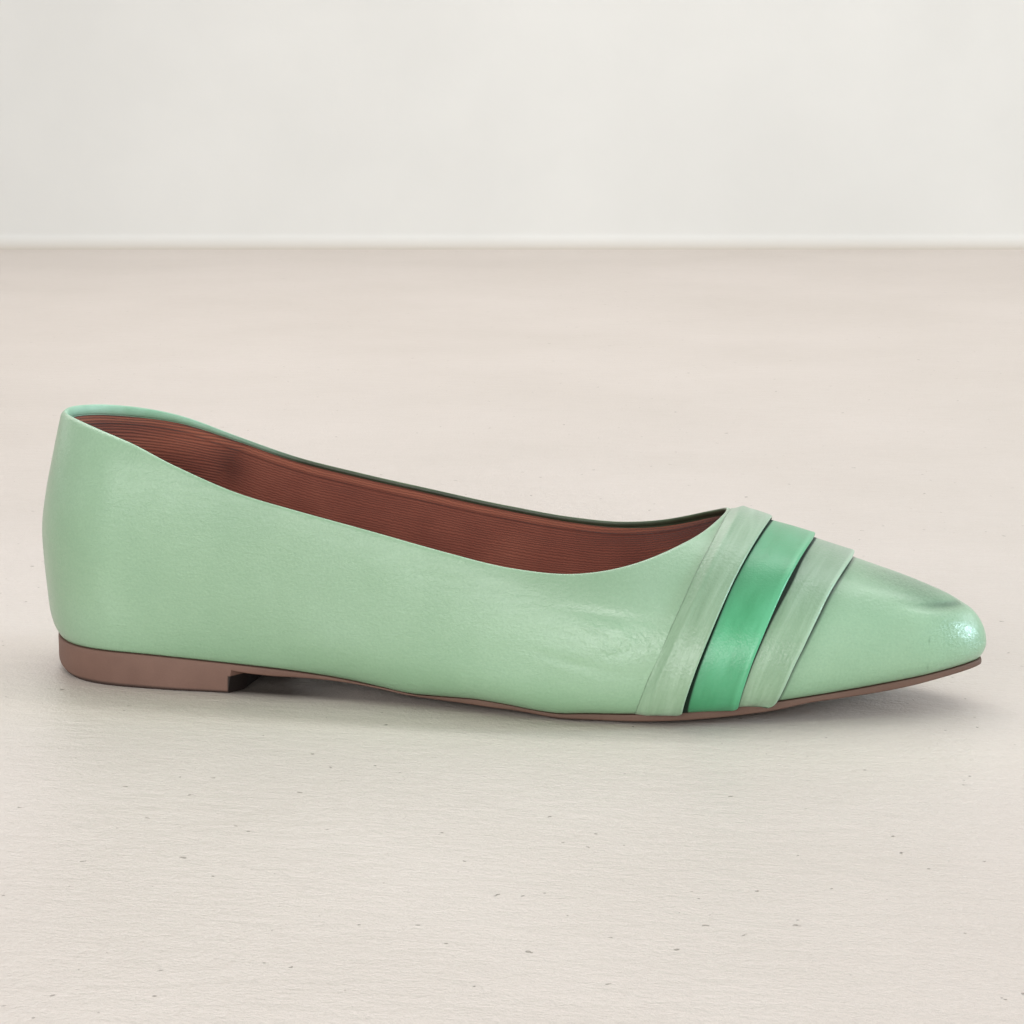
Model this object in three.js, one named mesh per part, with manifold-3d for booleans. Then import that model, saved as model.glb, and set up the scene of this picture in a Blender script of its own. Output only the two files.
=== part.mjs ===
// Pointed flat shoe, right foot, with three bands across the vamp. Millimetres, +X toward the toe,
// -Y the outer side, +Z up from the floor. The origin is on the floor, at the middle of the shoe's
// length and width.
import * as THREE from "three";
import Module from "manifold-3d";

const wasm = await Module();
wasm.setup();

// ---- sizes (mm) ----
const LENGTH = 248; // feather line, heel to toe
const ORIGIN_X = 124.5; // from the heel end of the length to the origin
const ORIGIN_Y = -1.0; // from the heel's middle line to the origin
const WALL = 2.0; // leather, stiffener and lining together
const GAP = 0.3; // between pieces that meet
const MARGIN = 7; // lasting margin turned in under the foot
const INSOLE = 3.2; // board and sock
const SOLE_EDGE = 0.5; // sole beyond the feather line
const BREAST_X = 60; // front of the heel block, from the heel end
const BREAST_RUN = 0.6; // draft of the breast
const SOLE_RADIUS = 0.9; // lower edge of the sole
const HEEL_RADIUS = 0.7; // lower edge of the heel block along its sides
const BACK_RADIUS = 3.3; // the same at its very back
const STRAP_UNDER = 0.3; // band's inner face above the upper
const STRAP_OVER = 1.6; // band's outer face above the upper
const HEEL_CAP = 0.115; // share of the length that rounds the heel in plan
const TOE_CAP = 0.075; // share of the length that rounds the toe in plan
const NOSE_DEPTH = 9.4; // how far the ridge end lies behind the toe tip
const NOSE_UNDER = 1.55; // how far the feather lies behind the toe tip
const NOSE_WAIST = 0.24; // share of the toe height at which the tip is foremost
const NOSE_ROUND = 0.88; // 1 = the tip's curve ends level, less = it meets the ridge at a slope

// ---- one row per section, s = share of the length ----
// side -1 = outer, side +1 = inner; "sole" = half width at the feather line, "wide" = largest half
// width; bottom and tread = heights of the upper's and the sole's underside; ridge = height of the
// section above its bottom; belly = height of the largest width; power = roundness of the top
const SECTIONS = [
  { s: 0, soleOut: 25.1, soleIn: 25.1, wideOut: 27.6, wideIn: 27.6, bottom: 9.3, tread: 0, ridge: 68.2, belly: 22, power: 2.3 },
  { s: 0.04, soleOut: 25.4, soleIn: 25.3, wideOut: 27.6, wideIn: 27.7, bottom: 9.2, tread: 0, ridge: 68, belly: 22, power: 2.3 },
  { s: 0.1, soleOut: 25.8, soleIn: 25.4, wideOut: 28.2, wideIn: 28.1, bottom: 9.1, tread: 0, ridge: 69.5, belly: 22, power: 2.3 },
  { s: 0.18, soleOut: 27, soleIn: 25.4, wideOut: 29.7, wideIn: 29.3, bottom: 8.4, tread: 6, ridge: 73, belly: 20, power: 2.3 },
  { s: 0.27, soleOut: 28.2, soleIn: 22.8, wideOut: 32, wideIn: 30.8, bottom: 7.2, tread: 4.9, ridge: 76.9, belly: 17, power: 2.2 },
  { s: 0.36, soleOut: 28.8, soleIn: 19.6, wideOut: 35, wideIn: 32, bottom: 5.3, tread: 3.1, ridge: 77, belly: 14, power: 2.1 },
  { s: 0.45, soleOut: 31, soleIn: 20, wideOut: 39.3, wideIn: 34.1, bottom: 3.4, tread: 1.1, ridge: 72.6, belly: 12, power: 2 },
  { s: 0.54, soleOut: 35, soleIn: 26.2, wideOut: 43.4, wideIn: 37.7, bottom: 2.4, tread: 0, ridge: 64, belly: 10, power: 2 },
  { s: 0.62, soleOut: 37.2, soleIn: 33, wideOut: 44.1, wideIn: 40.1, bottom: 2.5, tread: 0, ridge: 54.6, belly: 9, power: 2 },
  { s: 0.7, soleOut: 36.2, soleIn: 35.5, wideOut: 40.8, wideIn: 40.4, bottom: 3.2, tread: 0.3, ridge: 46.5, belly: 8.5, power: 2 },
  { s: 0.78, soleOut: 30.1, soleIn: 31.5, wideOut: 34.2, wideIn: 35.3, bottom: 4.8, tread: 1.9, ridge: 38.5, belly: 8, power: 2 },
  { s: 0.86, soleOut: 21.3, soleIn: 23.3, wideOut: 25.4, wideIn: 27, bottom: 6.9, tread: 4.4, ridge: 29.4, belly: 7, power: 2 },
  { s: 0.93, soleOut: 13.6, soleIn: 15.5, wideOut: 17.7, wideIn: 19.1, bottom: 9.3, tread: 6.8, ridge: 22.6, belly: 5.5, power: 2 },
  { s: 1, soleOut: 8.1, soleIn: 9, wideOut: 11.8, wideIn: 12.5, bottom: 12.3, tread: 10, ridge: 15.3, belly: 4, power: 2 },
];

// height of the topline above the floor, seen from the side
const TOPLINE = [
  { s: 0, z: 67.4 }, { s: 0.03, z: 66.8 }, { s: 0.07, z: 65.4 }, { s: 0.12, z: 62.7 }, { s: 0.18, z: 57.5 },
  { s: 0.25, z: 51.8 }, { s: 0.32, z: 47.9 }, { s: 0.4, z: 44 }, { s: 0.48, z: 40.1 }, { s: 0.55, z: 37.3 },
  { s: 0.61, z: 36.6 }, { s: 0.66, z: 38.5 }, { s: 0.7, z: 41.9 }, { s: 0.725, z: 44.8 }, { s: 0.75, z: 49.3 },
];

// back curve of the heel: distance from the heel end of the length, by height above the feather line
const BACK = [
  { h: 0, x: 5.2 }, { h: 2, x: 3.9 }, { h: 6, x: 2.7 }, { h: 12, x: 2.1 }, { h: 20, x: 1.4 },
  { h: 28, x: 1.1 }, { h: 38, x: 2.5 }, { h: 48, x: 4.6 }, { h: 56, x: 6.2 }, { h: 64, x: 7.8 },
];

// the bands, from the throat forward: x of their rear and front planes at height 40, and the
// forward lean of those planes per millimetre of height
const BANDS = [
  { name: "strap_rear", colour: 0xa9cfae, rear: 179.6, front: 191.3, lean: 0.37 },
  { name: "strap_middle", colour: 0x53b583, rear: 191.6, front: 203.0, lean: 0.37 },
  { name: "strap_front", colour: 0xa9cfae, rear: 203.3, front: 214.6, lean: 0.37 },
];

const column = (rows, key) => rows.map((row) => row[key]);

// smooth curve through a table
function curve(xs, ys) {
  const n = xs.length;
  const h = [], d = [];
  for (let i = 0; i < n - 1; i++) {
    h.push(xs[i + 1] - xs[i]);
    d.push((ys[i + 1] - ys[i]) / h[i]);
  }
  const m = ys.map((_, i) => {
    if (i === 0) return d[0];
    if (i === n - 1) return d[n - 2];
    return (d[i - 1] * h[i] + d[i] * h[i - 1]) / (h[i - 1] + h[i]);
  });
  return (x) => {
    if (x <= xs[0]) return ys[0] + m[0] * (x - xs[0]);
    if (x >= xs[n - 1]) return ys[n - 1] + m[n - 1] * (x - xs[n - 1]);
    let i = 0;
    while (x > xs[i + 1]) i++;
    const t = (x - xs[i]) / h[i];
    const t2 = t * t, t3 = t2 * t;
    return (2 * t3 - 3 * t2 + 1) * ys[i] + (t3 - 2 * t2 + t) * h[i] * m[i]
      + (-2 * t3 + 3 * t2) * ys[i + 1] + (t3 - t2) * h[i] * m[i + 1];
  };
}

const stations = column(SECTIONS, "s");
const table = Object.fromEntries(
  Object.keys(SECTIONS[0]).filter((k) => k !== "s").map((k) => [k, curve(stations, column(SECTIONS, k))]),
);
const toplineZ = curve(column(TOPLINE, "s"), column(TOPLINE, "z"));
const backX = curve(column(BACK, "h"), column(BACK, "x"));
const clamp = (v) => Math.min(1, Math.max(0, v));

function cap(s) {
  const a = 1 - clamp(s / HEEL_CAP);
  const b = 1 - clamp((1 - s) / TOE_CAP);
  return Math.sqrt(Math.max(0, 1 - a * a)) * Math.sqrt(Math.max(0, 1 - b * b));
}

// height of a section that is grown (+) or drawn in (-) by g, above its own bottom
const lift = (g) => Math.max(-g, 0);
const heightOf = (s, g) => table.ridge(s) + g - lift(g);
const bellyOf = (s, g) => table.belly(s) - lift(g) * 0.5;

// a point of the form that is grown (+) or drawn in (-) by g, at the height h above its bottom
function formPoint(s, h, side, g = 0) {
  const sole = table[side < 0 ? "soleOut" : "soleIn"](s) + g;
  const wide = table[side < 0 ? "wideOut" : "wideIn"](s) + g;
  const H = heightOf(s, g), zw = bellyOf(s, g), p = table.power(s);
  let w;
  if (h < zw) {
    const q = 1 - clamp(h / zw);
    w = sole + (wide - sole) * Math.sqrt(Math.max(0, 1 - q * q));
  } else {
    const t = clamp((h - zw) / (H - zw));
    w = wide * Math.pow(Math.max(0, 1 - Math.pow(t, p)), 1 / p);
  }
  w *= cap(s);
  return new THREE.Vector3(formX(s, h, g), side * w - ORIGIN_Y, floorOf(s, g) + h);
}

// height of the bottom of the form at a section
const floorOf = (s, g) => featherZ(formX(s, 0, g)) + lift(g);

function formX(s, h, g) {
  const tau = clamp(h / heightOf(s, g));
  const up = clamp((tau - NOSE_WAIST) / (1 - NOSE_WAIST));
  const under = 1 - clamp(tau / NOSE_WAIST);
  const nose = tau > NOSE_WAIST
    ? -NOSE_DEPTH * (1 - Math.sqrt(1 - (NOSE_ROUND * up) ** 2)) / (1 - Math.sqrt(1 - NOSE_ROUND ** 2))
    : -NOSE_UNDER * under * under;
  const atHeel = clamp(1 - s / 0.3), atToe = clamp((s - 0.8) / 0.2);
  return s * (LENGTH + 2 * g) - g + backX(Math.min(64, Math.max(0, h + lift(g)))) * atHeel * atHeel
    + nose * atToe * atToe - ORIGIN_X;
}

// where the topline meets the ridge
const throat = (() => {
  let a = 0.6, b = 0.75;
  for (let i = 0; i < 60; i++) {
    const m = (a + b) / 2;
    if (toplineZ(m) > table.bottom(m) + table.ridge(m)) b = m;
    else a = m;
  }
  return (a + b) / 2;
})();

// ---- section rows: close together round the heel, at the throat and round the toe ----
const rows = [];
const HEEL_ROWS = 7, SIDE_ROWS = 19, THROAT_ROWS = 5, VAMP_ROWS = 8, TOE_ROWS = 6;
const throatStart = throat - 0.04;
for (let i = 0; i < HEEL_ROWS; i++) rows.push(HEEL_CAP * (1 - Math.cos((i / HEEL_ROWS) * Math.PI / 2)));
for (let i = 0; i < SIDE_ROWS; i++) rows.push(HEEL_CAP + (throatStart - HEEL_CAP) * (i / SIDE_ROWS));
for (let i = 0; i < THROAT_ROWS; i++) rows.push(throat - 0.04 * (1 - i / THROAT_ROWS) ** 2);
const THROAT_ROW = rows.length;
for (let i = 0; i < VAMP_ROWS; i++) rows.push(throat + (1 - TOE_CAP - throat) * (i / VAMP_ROWS));
for (let i = 0; i <= TOE_ROWS; i++) rows.push(1 - TOE_CAP * (1 - Math.sin((i / TOE_ROWS) * Math.PI / 2)));
const LAST = rows.length - 1;

// ---- columns of a section, from the feather line up ----
const LOW = 3, HIGH = 7, COLS = LOW + HIGH;
function heights(s, g, topZ) {
  const zw = bellyOf(s, g), H = heightOf(s, g);
  const top = Math.min(topZ - floorOf(s, g), H);
  const out = [];
  for (let j = 0; j < LOW; j++) out.push(zw * (1 - Math.cos((j / LOW) * Math.PI / 2)));
  for (let j = 0; j <= HIGH; j++) out.push(zw + (top - zw) * Math.sin((j / HIGH) * Math.PI / 2));
  return out;
}

// ---- a closed surface from points and faces; points that coincide are one ----
class Shell {
  constructor() {
    this.points = [];
    this.index = new Map();
    this.faces = [];
  }
  add(p) {
    const key = [p.x, p.y, p.z].map((v) => Math.round(v * 1e4)).join(",");
    if (!this.index.has(key)) {
      this.index.set(key, this.points.length);
      this.points.push(p);
    }
    return this.index.get(key);
  }
  tri(a, b, c) {
    if (a !== b && b !== c && a !== c) this.faces.push([a, b, c]);
  }
  quad(a, b, c, d) {
    // the shorter diagonal
    const P = this.points;
    if (P[a].distanceTo(P[c]) <= P[b].distanceTo(P[d])) {
      this.tri(a, b, c);
      this.tri(a, c, d);
    } else {
      this.tri(a, b, d);
      this.tri(b, c, d);
    }
  }
  // faces between two strips of points; flip turns them over
  strip(one, two, flip) {
    for (let i = 0; i + 1 < one.length; i++) {
      if (flip) this.quad(one[i], two[i], two[i + 1], one[i + 1]);
      else this.quad(one[i], one[i + 1], two[i + 1], two[i]);
    }
  }
  geometry() {
    let volume = 0;
    for (const [a, b, c] of this.faces) {
      const P = this.points;
      volume += P[a].dot(P[b].clone().cross(P[c])) / 6;
    }
    const faces = volume < 0 ? this.faces.map(([a, b, c]) => [a, c, b]) : this.faces;
    const g = new THREE.BufferGeometry();
    g.setAttribute("position", new THREE.Float32BufferAttribute(this.points.flatMap((p) => [p.x, p.y, p.z]), 3));
    g.setIndex(faces.flat());
    return g;
  }
}

function toSolid(geometry) {
  return new wasm.Manifold(new wasm.Mesh({
    numProp: 3,
    vertProperties: new Float32Array(geometry.attributes.position.array),
    triVerts: new Uint32Array(geometry.index.array),
  }));
}

function toGeometry(solid) {
  const mesh = solid.getMesh();
  const g = new THREE.BufferGeometry();
  g.setAttribute("position", new THREE.Float32BufferAttribute(mesh.vertProperties, mesh.numProp));
  g.setIndex([...mesh.triVerts]);
  return g;
}

// plan outline of the form at the feather line, moved out by g
const planX = (s, g) => s * (LENGTH + 2 * g) - g + backX(0) * clamp(1 - s / 0.3) ** 2
  - NOSE_UNDER * clamp((s - 0.8) / 0.2) ** 2 - ORIGIN_X;
const planY = (s, side, g) => side * (table[side < 0 ? "soleOut" : "soleIn"](s) + g) * cap(s) - ORIGIN_Y;

// share of the length at a place on the feather line
function shareAt(x) {
  let a = 0, b = 1;
  for (let i = 0; i < 50; i++) {
    const m = (a + b) / 2;
    if (planX(m, 0) > x) b = m;
    else a = m;
  }
  return (a + b) / 2;
}
const featherZ = (x) => table.bottom(shareAt(x));

// ---- upper: outer sheet, inner sheet, turned rim, margin ----
function buildUpper() {
  const shell = new Shell();
  const RIM = 3;
  const rimRadius = WALL / 2;
  const sheets = {};
  for (const side of [-1, 1]) {
    const outer = [], inner = [], rim = [], under = [], over = [];
    rows.forEach((s, i) => {
      const open = i < THROAT_ROW;
      const top = open ? toplineZ(s) - rimRadius : 1e3;
      outer.push(heights(s, 0, top).map((h) => shell.add(formPoint(s, h, side, 0))));
      inner.push(heights(s, -WALL, top).map((h) => shell.add(formPoint(s, h, side, -WALL))));
      // margin under the foot: lower face at the feather height, upper face one wall above it
      const low = [], high = [];
      for (const g of [0, -WALL, -MARGIN]) {
        const x = planX(s, g), y = planY(s, side, g);
        if (g === 0) low.push(outer[i][0]);
        else low.push(shell.add(new THREE.Vector3(x, y, featherZ(x))));
        if (g === -WALL) high.push(inner[i][0]);
        else if (g === -MARGIN) high.push(shell.add(new THREE.Vector3(x, y, featherZ(x) + WALL)));
      }
      under.push(low);
      over.push(high);
      // rim: half round between the sheets' top points
      const a = shell.points[outer[i][COLS]], b = shell.points[inner[i][COLS]];
      const arc = [outer[i][COLS]];
      if (i <= THROAT_ROW) {
        for (let k = 1; k < RIM; k++) {
          const q = (k / RIM) * Math.PI;
          const p = a.clone().add(b).multiplyScalar(0.5)
            .addScaledVector(a.clone().sub(b), 0.5 * Math.cos(q));
          if (open) p.z += rimRadius * Math.sin(q);
          else p.x -= rimRadius * Math.sin(q) * 0.6;
          arc.push(shell.add(p));
        }
      }
      arc.push(inner[i][COLS]);
      rim.push(arc);
    });
    sheets[side] = { outer, inner, rim, under, over };
  }
  for (const side of [-1, 1]) {
    const f = side > 0;
    const { outer, inner, rim, under, over } = sheets[side];
    for (let i = 0; i < LAST; i++) {
      shell.strip(outer[i], outer[i + 1], f);
      shell.strip(inner[i], inner[i + 1], !f);
      if (i < THROAT_ROW) shell.strip(rim[i], rim[i + 1], f);
      shell.strip(under[i], under[i + 1], !f);
      shell.strip(over[i], over[i + 1], f);
      shell.strip([under[i][2], over[i][1]], [under[i + 1][2], over[i + 1][1]], !f);
    }
  }
  return shell.geometry();
}

// ---- closed form, for cutting the bands: grown by g, its bottom lowered by drop ----
function buildForm(g, drop, from, to) {
  const shell = new Shell();
  const grid = {};
  for (const side of [-1, 1]) {
    grid[side] = rows.slice(from, to + 1).map((s) => {
      const line = heights(s, g, 1e3).map((h) => formPoint(s, h, side, g));
      if (drop > 0) line.unshift(new THREE.Vector3(line[0].x, line[0].y, line[0].z - drop));
      return line.map((p) => shell.add(p));
    });
  }
  const n = grid[-1].length - 1;
  for (const side of [-1, 1]) {
    for (let i = 0; i < n; i++) shell.strip(grid[side][i], grid[side][i + 1], side > 0);
  }
  for (let i = 0; i < n; i++) shell.quad(grid[-1][i][0], grid[-1][i + 1][0], grid[1][i + 1][0], grid[1][i][0]);
  for (const [i, flip] of [[0, true], [n, false]]) shell.strip(grid[-1][i], grid[1][i], flip);
  return toSolid(shell.geometry());
}

// eight-cornered slab between two leaning planes that hold the y direction
function slab(band) {
  const low = -10, high = 90, wide = 90;
  const xAt = (x0, z) => x0 + band.lean * (z - 40) - ORIGIN_X;
  const shell = new Shell();
  const corner = (x0, y, z) => shell.add(new THREE.Vector3(xAt(x0, z), y, z));
  const [a, b, c, d] = [[-wide, low], [wide, low], [wide, high], [-wide, high]].map(([y, z]) => corner(band.rear, y, z));
  const [e, f, g, h] = [[-wide, low], [wide, low], [wide, high], [-wide, high]].map(([y, z]) => corner(band.front, y, z));
  shell.quad(a, d, c, b);
  shell.quad(e, f, g, h);
  shell.quad(a, b, f, e);
  shell.quad(b, c, g, f);
  shell.quad(c, d, h, g);
  shell.quad(d, a, e, h);
  return toSolid(shell.geometry());
}

// ---- sole with its heel block: one unit ----
function buildOutsole() {
  const shell = new Shell();
  const breastShare = shareAt(BREAST_X - ORIGIN_X);
  const frontShare = shareAt(BREAST_X + BREAST_RUN - ORIGIN_X);
  const list = rows.filter((s) => Math.abs(s - breastShare) > 0.008).concat([breastShare, frontShare]).sort((p, q) => p - q);
  const ARC = 3;
  const lines = {};
  for (const side of [-1, 1]) {
    lines[side] = list.map((s) => {
      const block = s <= breastShare + 1e-9;
      const top = featherZ(planX(s, SOLE_EDGE)) - GAP;
      const back = 1 - Math.min(s / 0.075, 1);
      const r = block ? HEEL_RADIUS + (BACK_RADIUS - HEEL_RADIUS) * back * back * (3 - 2 * back) : SOLE_RADIUS;
      const base = block ? 0 : Math.max(0, table.tread(s));
      const line = [new THREE.Vector3(planX(s, SOLE_EDGE), planY(s, side, SOLE_EDGE), top)];
      for (let k = 0; k <= ARC; k++) {
        const q = (k / ARC) * Math.PI / 2;
        const g = SOLE_EDGE - r * (1 - Math.cos(q));
        line.push(new THREE.Vector3(planX(s, g), planY(s, side, g), base + r * (1 - Math.sin(q))));
      }
      return line.map((p) => shell.add(p));
    });
  }
  const n = list.length - 1;
  for (let i = 0; i < n; i++) {
    for (const side of [-1, 1]) shell.strip(lines[side][i], lines[side][i + 1], side < 0);
    shell.quad(lines[-1][i][0], lines[1][i][0], lines[1][i + 1][0], lines[-1][i + 1][0]);
    const b = ARC + 1;
    shell.quad(lines[-1][i][b], lines[-1][i + 1][b], lines[1][i + 1][b], lines[1][i][b]);
  }
  return shell.geometry();
}

// ---- insole: rests just above the margin, inside the walls ----
function buildInsole() {
  const shell = new Shell();
  const g = -(WALL + 0.6), round = 0.8;
  const lines = {};
  for (const side of [-1, 1]) {
    lines[side] = rows.map((s) => {
      const at = (inset, up) => {
        const x = planX(s, g - inset);
        return shell.add(new THREE.Vector3(x, planY(s, side, g - inset), featherZ(x) + WALL + GAP + up));
      };
      return [at(0, 0), at(0, INSOLE - round), at(round, INSOLE)];
    });
  }
  for (let i = 0; i < LAST; i++) {
    for (const side of [-1, 1]) shell.strip(lines[side][i], lines[side][i + 1], side > 0);
    shell.quad(lines[-1][i][0], lines[-1][i + 1][0], lines[1][i + 1][0], lines[1][i][0]);
    shell.quad(lines[-1][i][2], lines[1][i][2], lines[1][i + 1][2], lines[-1][i + 1][2]);
  }
  return shell.geometry();
}

// ---- pieces ----
const group = new THREE.Group();
function piece(name, geometry, colour, roughness) {
  const mesh = new THREE.Mesh(geometry, new THREE.MeshStandardMaterial({ color: colour, roughness }));
  mesh.name = name;
  group.add(mesh);
}
piece("upper", buildUpper(), 0x9fc9a4, 0.45);
piece("outsole", buildOutsole(), 0x86685a, 0.8);
piece("insole", buildInsole(), 0x7a4538, 0.9);

const bandFrom = THROAT_ROW - 8, bandTo = THROAT_ROW + VAMP_ROWS + 3;
const wrap = buildForm(STRAP_OVER, 0, bandFrom, bandTo).subtract(buildForm(STRAP_UNDER, 2, bandFrom - 1, bandTo + 1));
for (const band of BANDS) piece(band.name, toGeometry(wrap.intersect(slab(band))), band.colour, 0.4);

export default group;
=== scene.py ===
import math

import bpy
import numpy as np
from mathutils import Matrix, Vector


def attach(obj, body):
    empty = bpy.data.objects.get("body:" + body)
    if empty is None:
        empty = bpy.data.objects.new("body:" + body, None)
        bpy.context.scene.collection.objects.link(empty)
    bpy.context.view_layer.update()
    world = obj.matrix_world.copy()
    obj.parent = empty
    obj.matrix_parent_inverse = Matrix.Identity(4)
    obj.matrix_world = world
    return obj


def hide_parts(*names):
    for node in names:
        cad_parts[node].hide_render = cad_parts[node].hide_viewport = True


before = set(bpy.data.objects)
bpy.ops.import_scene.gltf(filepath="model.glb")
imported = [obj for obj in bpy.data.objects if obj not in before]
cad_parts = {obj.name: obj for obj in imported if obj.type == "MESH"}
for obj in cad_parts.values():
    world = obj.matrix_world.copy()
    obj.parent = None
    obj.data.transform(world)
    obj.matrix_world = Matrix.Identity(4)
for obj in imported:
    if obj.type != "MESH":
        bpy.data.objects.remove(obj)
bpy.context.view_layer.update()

# =====================================================================
# Sizes in mm, x from the heel end of the length, y from the heel's middle
# line (minus = outer side), z from the floor.
# =====================================================================
LENGTH = 248.0
ORIGIN_X, ORIGIN_Y = 124.5, -1.0
WALL = 2.0
GAP = 0.3
MARGIN = 7.0
HEEL_CAP, TOE_CAP = 0.115, 0.075
NOSE_DEPTH, NOSE_UNDER, NOSE_WAIST, NOSE_ROUND = 9.4, 1.55, 0.24, 0.88
BREAST_X, BREAST_RUN = 60.0, 0.6
SOLE_EDGE = 0.5

# one row per section: share of the length, half widths at the feather line (outer, inner side),
# largest half widths, height of the upper's and of the sole's underside, height of the section,
# height of its largest width, roundness of its top
SECTIONS = """
s    soleOut soleIn wideOut wideIn bottom tread ridge belly power
0.00  25.1   25.1   27.6   27.6    9.3   0.0  68.2  22    2.3
0.04  25.4   25.3   27.6   27.7    9.2   0.0  68.0  22    2.3
0.10  25.8   25.4   28.2   28.1    9.1   0.0  69.5  22    2.3
0.18  27.0   25.4   29.7   29.3    8.4   6.0  73.0  20    2.3
0.27  28.2   22.8   32.0   30.8    7.2   4.9  76.9  17    2.2
0.36  28.8   19.6   35.0   32.0    5.3   3.1  77.0  14    2.1
0.45  31.0   20.0   39.3   34.1    3.4   1.1  72.6  12    2.0
0.54  35.0   26.2   43.4   37.7    2.4   0.0  64.0  10    2.0
0.62  37.2   33.0   44.1   40.1    2.5   0.0  54.6  9     2.0
0.70  36.2   35.5   40.8   40.4    3.2   0.3  46.5  8.5   2.0
0.78  30.1   31.5   34.2   35.3    4.8   1.9  38.5  8     2.0
0.86  21.3   23.3   25.4   27.0    6.9   4.4  29.4  7     2.0
0.93  13.6   15.5   17.7   19.1    9.3   6.8  22.6  5.5   2.0
1.00  8.1    9.0    11.8   12.5   12.3  10.0  15.3  4     2.0
"""
TOPLINE = [(0, 67.4), (.03, 66.8), (.07, 65.4), (.12, 62.7), (.18, 57.5), (.25, 51.8), (.32, 47.9), (.4, 44.0),
           (.48, 40.1), (.55, 37.3), (.61, 36.6), (.66, 38.5), (.7, 41.9), (.725, 44.8), (.75, 49.3)]
BACK = [(0, 5.2), (2, 3.9), (6, 2.7), (12, 2.1), (20, 1.4), (28, 1.1), (38, 2.5), (48, 4.6), (56, 6.2), (64, 7.8)]


def hermite(xs, ys, x):
    """smooth curve through a table, straight past its ends"""
    xs, ys = np.asarray(xs, float), np.asarray(ys, float)
    x = np.asarray(x, float)
    h = np.diff(xs)
    d = np.diff(ys) / h
    m = np.empty(len(xs))
    m[0], m[-1] = d[0], d[-1]
    m[1:-1] = (d[:-1] * h[1:] + d[1:] * h[:-1]) / (h[:-1] + h[1:])
    i = np.clip(np.searchsorted(xs, x, side="right") - 1, 0, len(xs) - 2)
    t = (x - xs[i]) / h[i]
    t2, t3 = t * t, t * t * t
    y = ((2 * t3 - 3 * t2 + 1) * ys[i] + (t3 - 2 * t2 + t) * h[i] * m[i]
         + (3 * t2 - 2 * t3) * ys[i + 1] + (t3 - t2) * h[i] * m[i + 1])
    y = np.where(x < xs[0], ys[0] + m[0] * (x - xs[0]), y)
    return np.where(x > xs[-1], ys[-1] + m[-1] * (x - xs[-1]), y)


_rows = [r.split() for r in SECTIONS.strip().splitlines()]
TABLE = {name: np.array([float(r[k]) for r in _rows[1:]]) for k, name in enumerate(_rows[0])}
STATIONS = TABLE["s"]


def tab(name, s):
    return hermite(STATIONS, TABLE[name], s)


def topline_z(s):
    return hermite([p[0] for p in TOPLINE], [p[1] for p in TOPLINE], np.minimum(s, 0.75))


def back_x(h):
    return hermite([p[0] for p in BACK], [p[1] for p in BACK], np.clip(h, 0, 64))


def smooth(a, b, x):
    t = np.clip((np.asarray(x, float) - a) / (b - a), 0, 1)
    return t * t * (3 - 2 * t)


def bell(x, c, w):
    return np.exp(-((np.asarray(x, float) - c) / w) ** 2)


def cap(s):
    a = 1 - np.clip(np.asarray(s, float) / HEEL_CAP, 0, 1)
    b = 1 - np.clip((1 - np.asarray(s, float)) / TOE_CAP, 0, 1)
    return np.sqrt(np.maximum(0, 1 - a * a)) * np.sqrt(np.maximum(0, 1 - b * b))


def lift(g):
    return np.maximum(-np.asarray(g, float), 0)


def height_of(s, g):
    return tab("ridge", s) + g - lift(g)


def belly_of(s, g):
    return tab("belly", s) - lift(g) * 0.5


def form_x(s, h, g=0.0):
    tau = np.clip(h / height_of(s, g), 0, 1)
    up = np.clip((tau - NOSE_WAIST) / (1 - NOSE_WAIST), 0, 1)
    under = 1 - np.clip(tau / NOSE_WAIST, 0, 1)
    nose = np.where(tau > NOSE_WAIST,
                    -NOSE_DEPTH * (1 - np.sqrt(1 - (NOSE_ROUND * up) ** 2)) / (1 - math.sqrt(1 - NOSE_ROUND ** 2)),
                    -NOSE_UNDER * under ** 2)
    at_heel = np.clip(1 - s / 0.3, 0, 1) ** 2
    at_toe = np.clip((s - 0.8) / 0.2, 0, 1) ** 2
    return s * (LENGTH + 2 * g) - g + back_x(h + lift(g)) * at_heel + nose * at_toe


def plan_x(s, g=0.0):
    return (s * (LENGTH + 2 * g) - g + BACK[0][1] * np.clip(1 - s / 0.3, 0, 1) ** 2
            - NOSE_UNDER * np.clip((s - 0.8) / 0.2, 0, 1) ** 2)


def plan_y(s, side, g=0.0):
    return side * (tab("soleOut" if side < 0 else "soleIn", s) + g) * cap(s)


_fine = np.linspace(0, 1, 4001)
_fine_x = plan_x(_fine)


def share_at(x):
    return np.interp(x, _fine_x, _fine)


def feather_z(x):
    return tab("bottom", share_at(x))


# small unevenness of the lasted edge, as height (mm) over the distance from the heel end
WAVE_OUTER = [(40, 0.0), (62, 0.25), (78, 0.55), (90, 0.5), (99, 0.1), (108, -0.35), (116, 0.2), (126, 0.9), (134, 0.6),
              (140, 0.0), (146, -0.45), (154, -0.1), (164, 0.0), (248, 0.0)]
WAVE_INNER = [(40, 0.0), (70, 0.3), (95, 0.35), (120, -0.2), (140, 0.25), (160, -0.15), (180, 0.0), (248, 0.0)]


def wave(p):
    """lifts points near the feather line by its unevenness"""
    x, y, z = p[:, 0], p[:, 1], p[:, 2]
    outer = hermite([a for a, _ in WAVE_OUTER], [b for _, b in WAVE_OUTER], x)
    inner = hermite([a for a, _ in WAVE_INNER], [b for _, b in WAVE_INNER], x)
    rise = outer * smooth(-8, -22, y) + inner * smooth(8, 22, y)
    above = z - feather_z(x)
    return rise * np.where(above > 0, np.exp(-(above / 9.0) ** 2), 1.0)


def floor_of(s, g=0.0):
    return feather_z(form_x(s, np.zeros_like(np.asarray(s, float)), g)) + lift(g)


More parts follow.
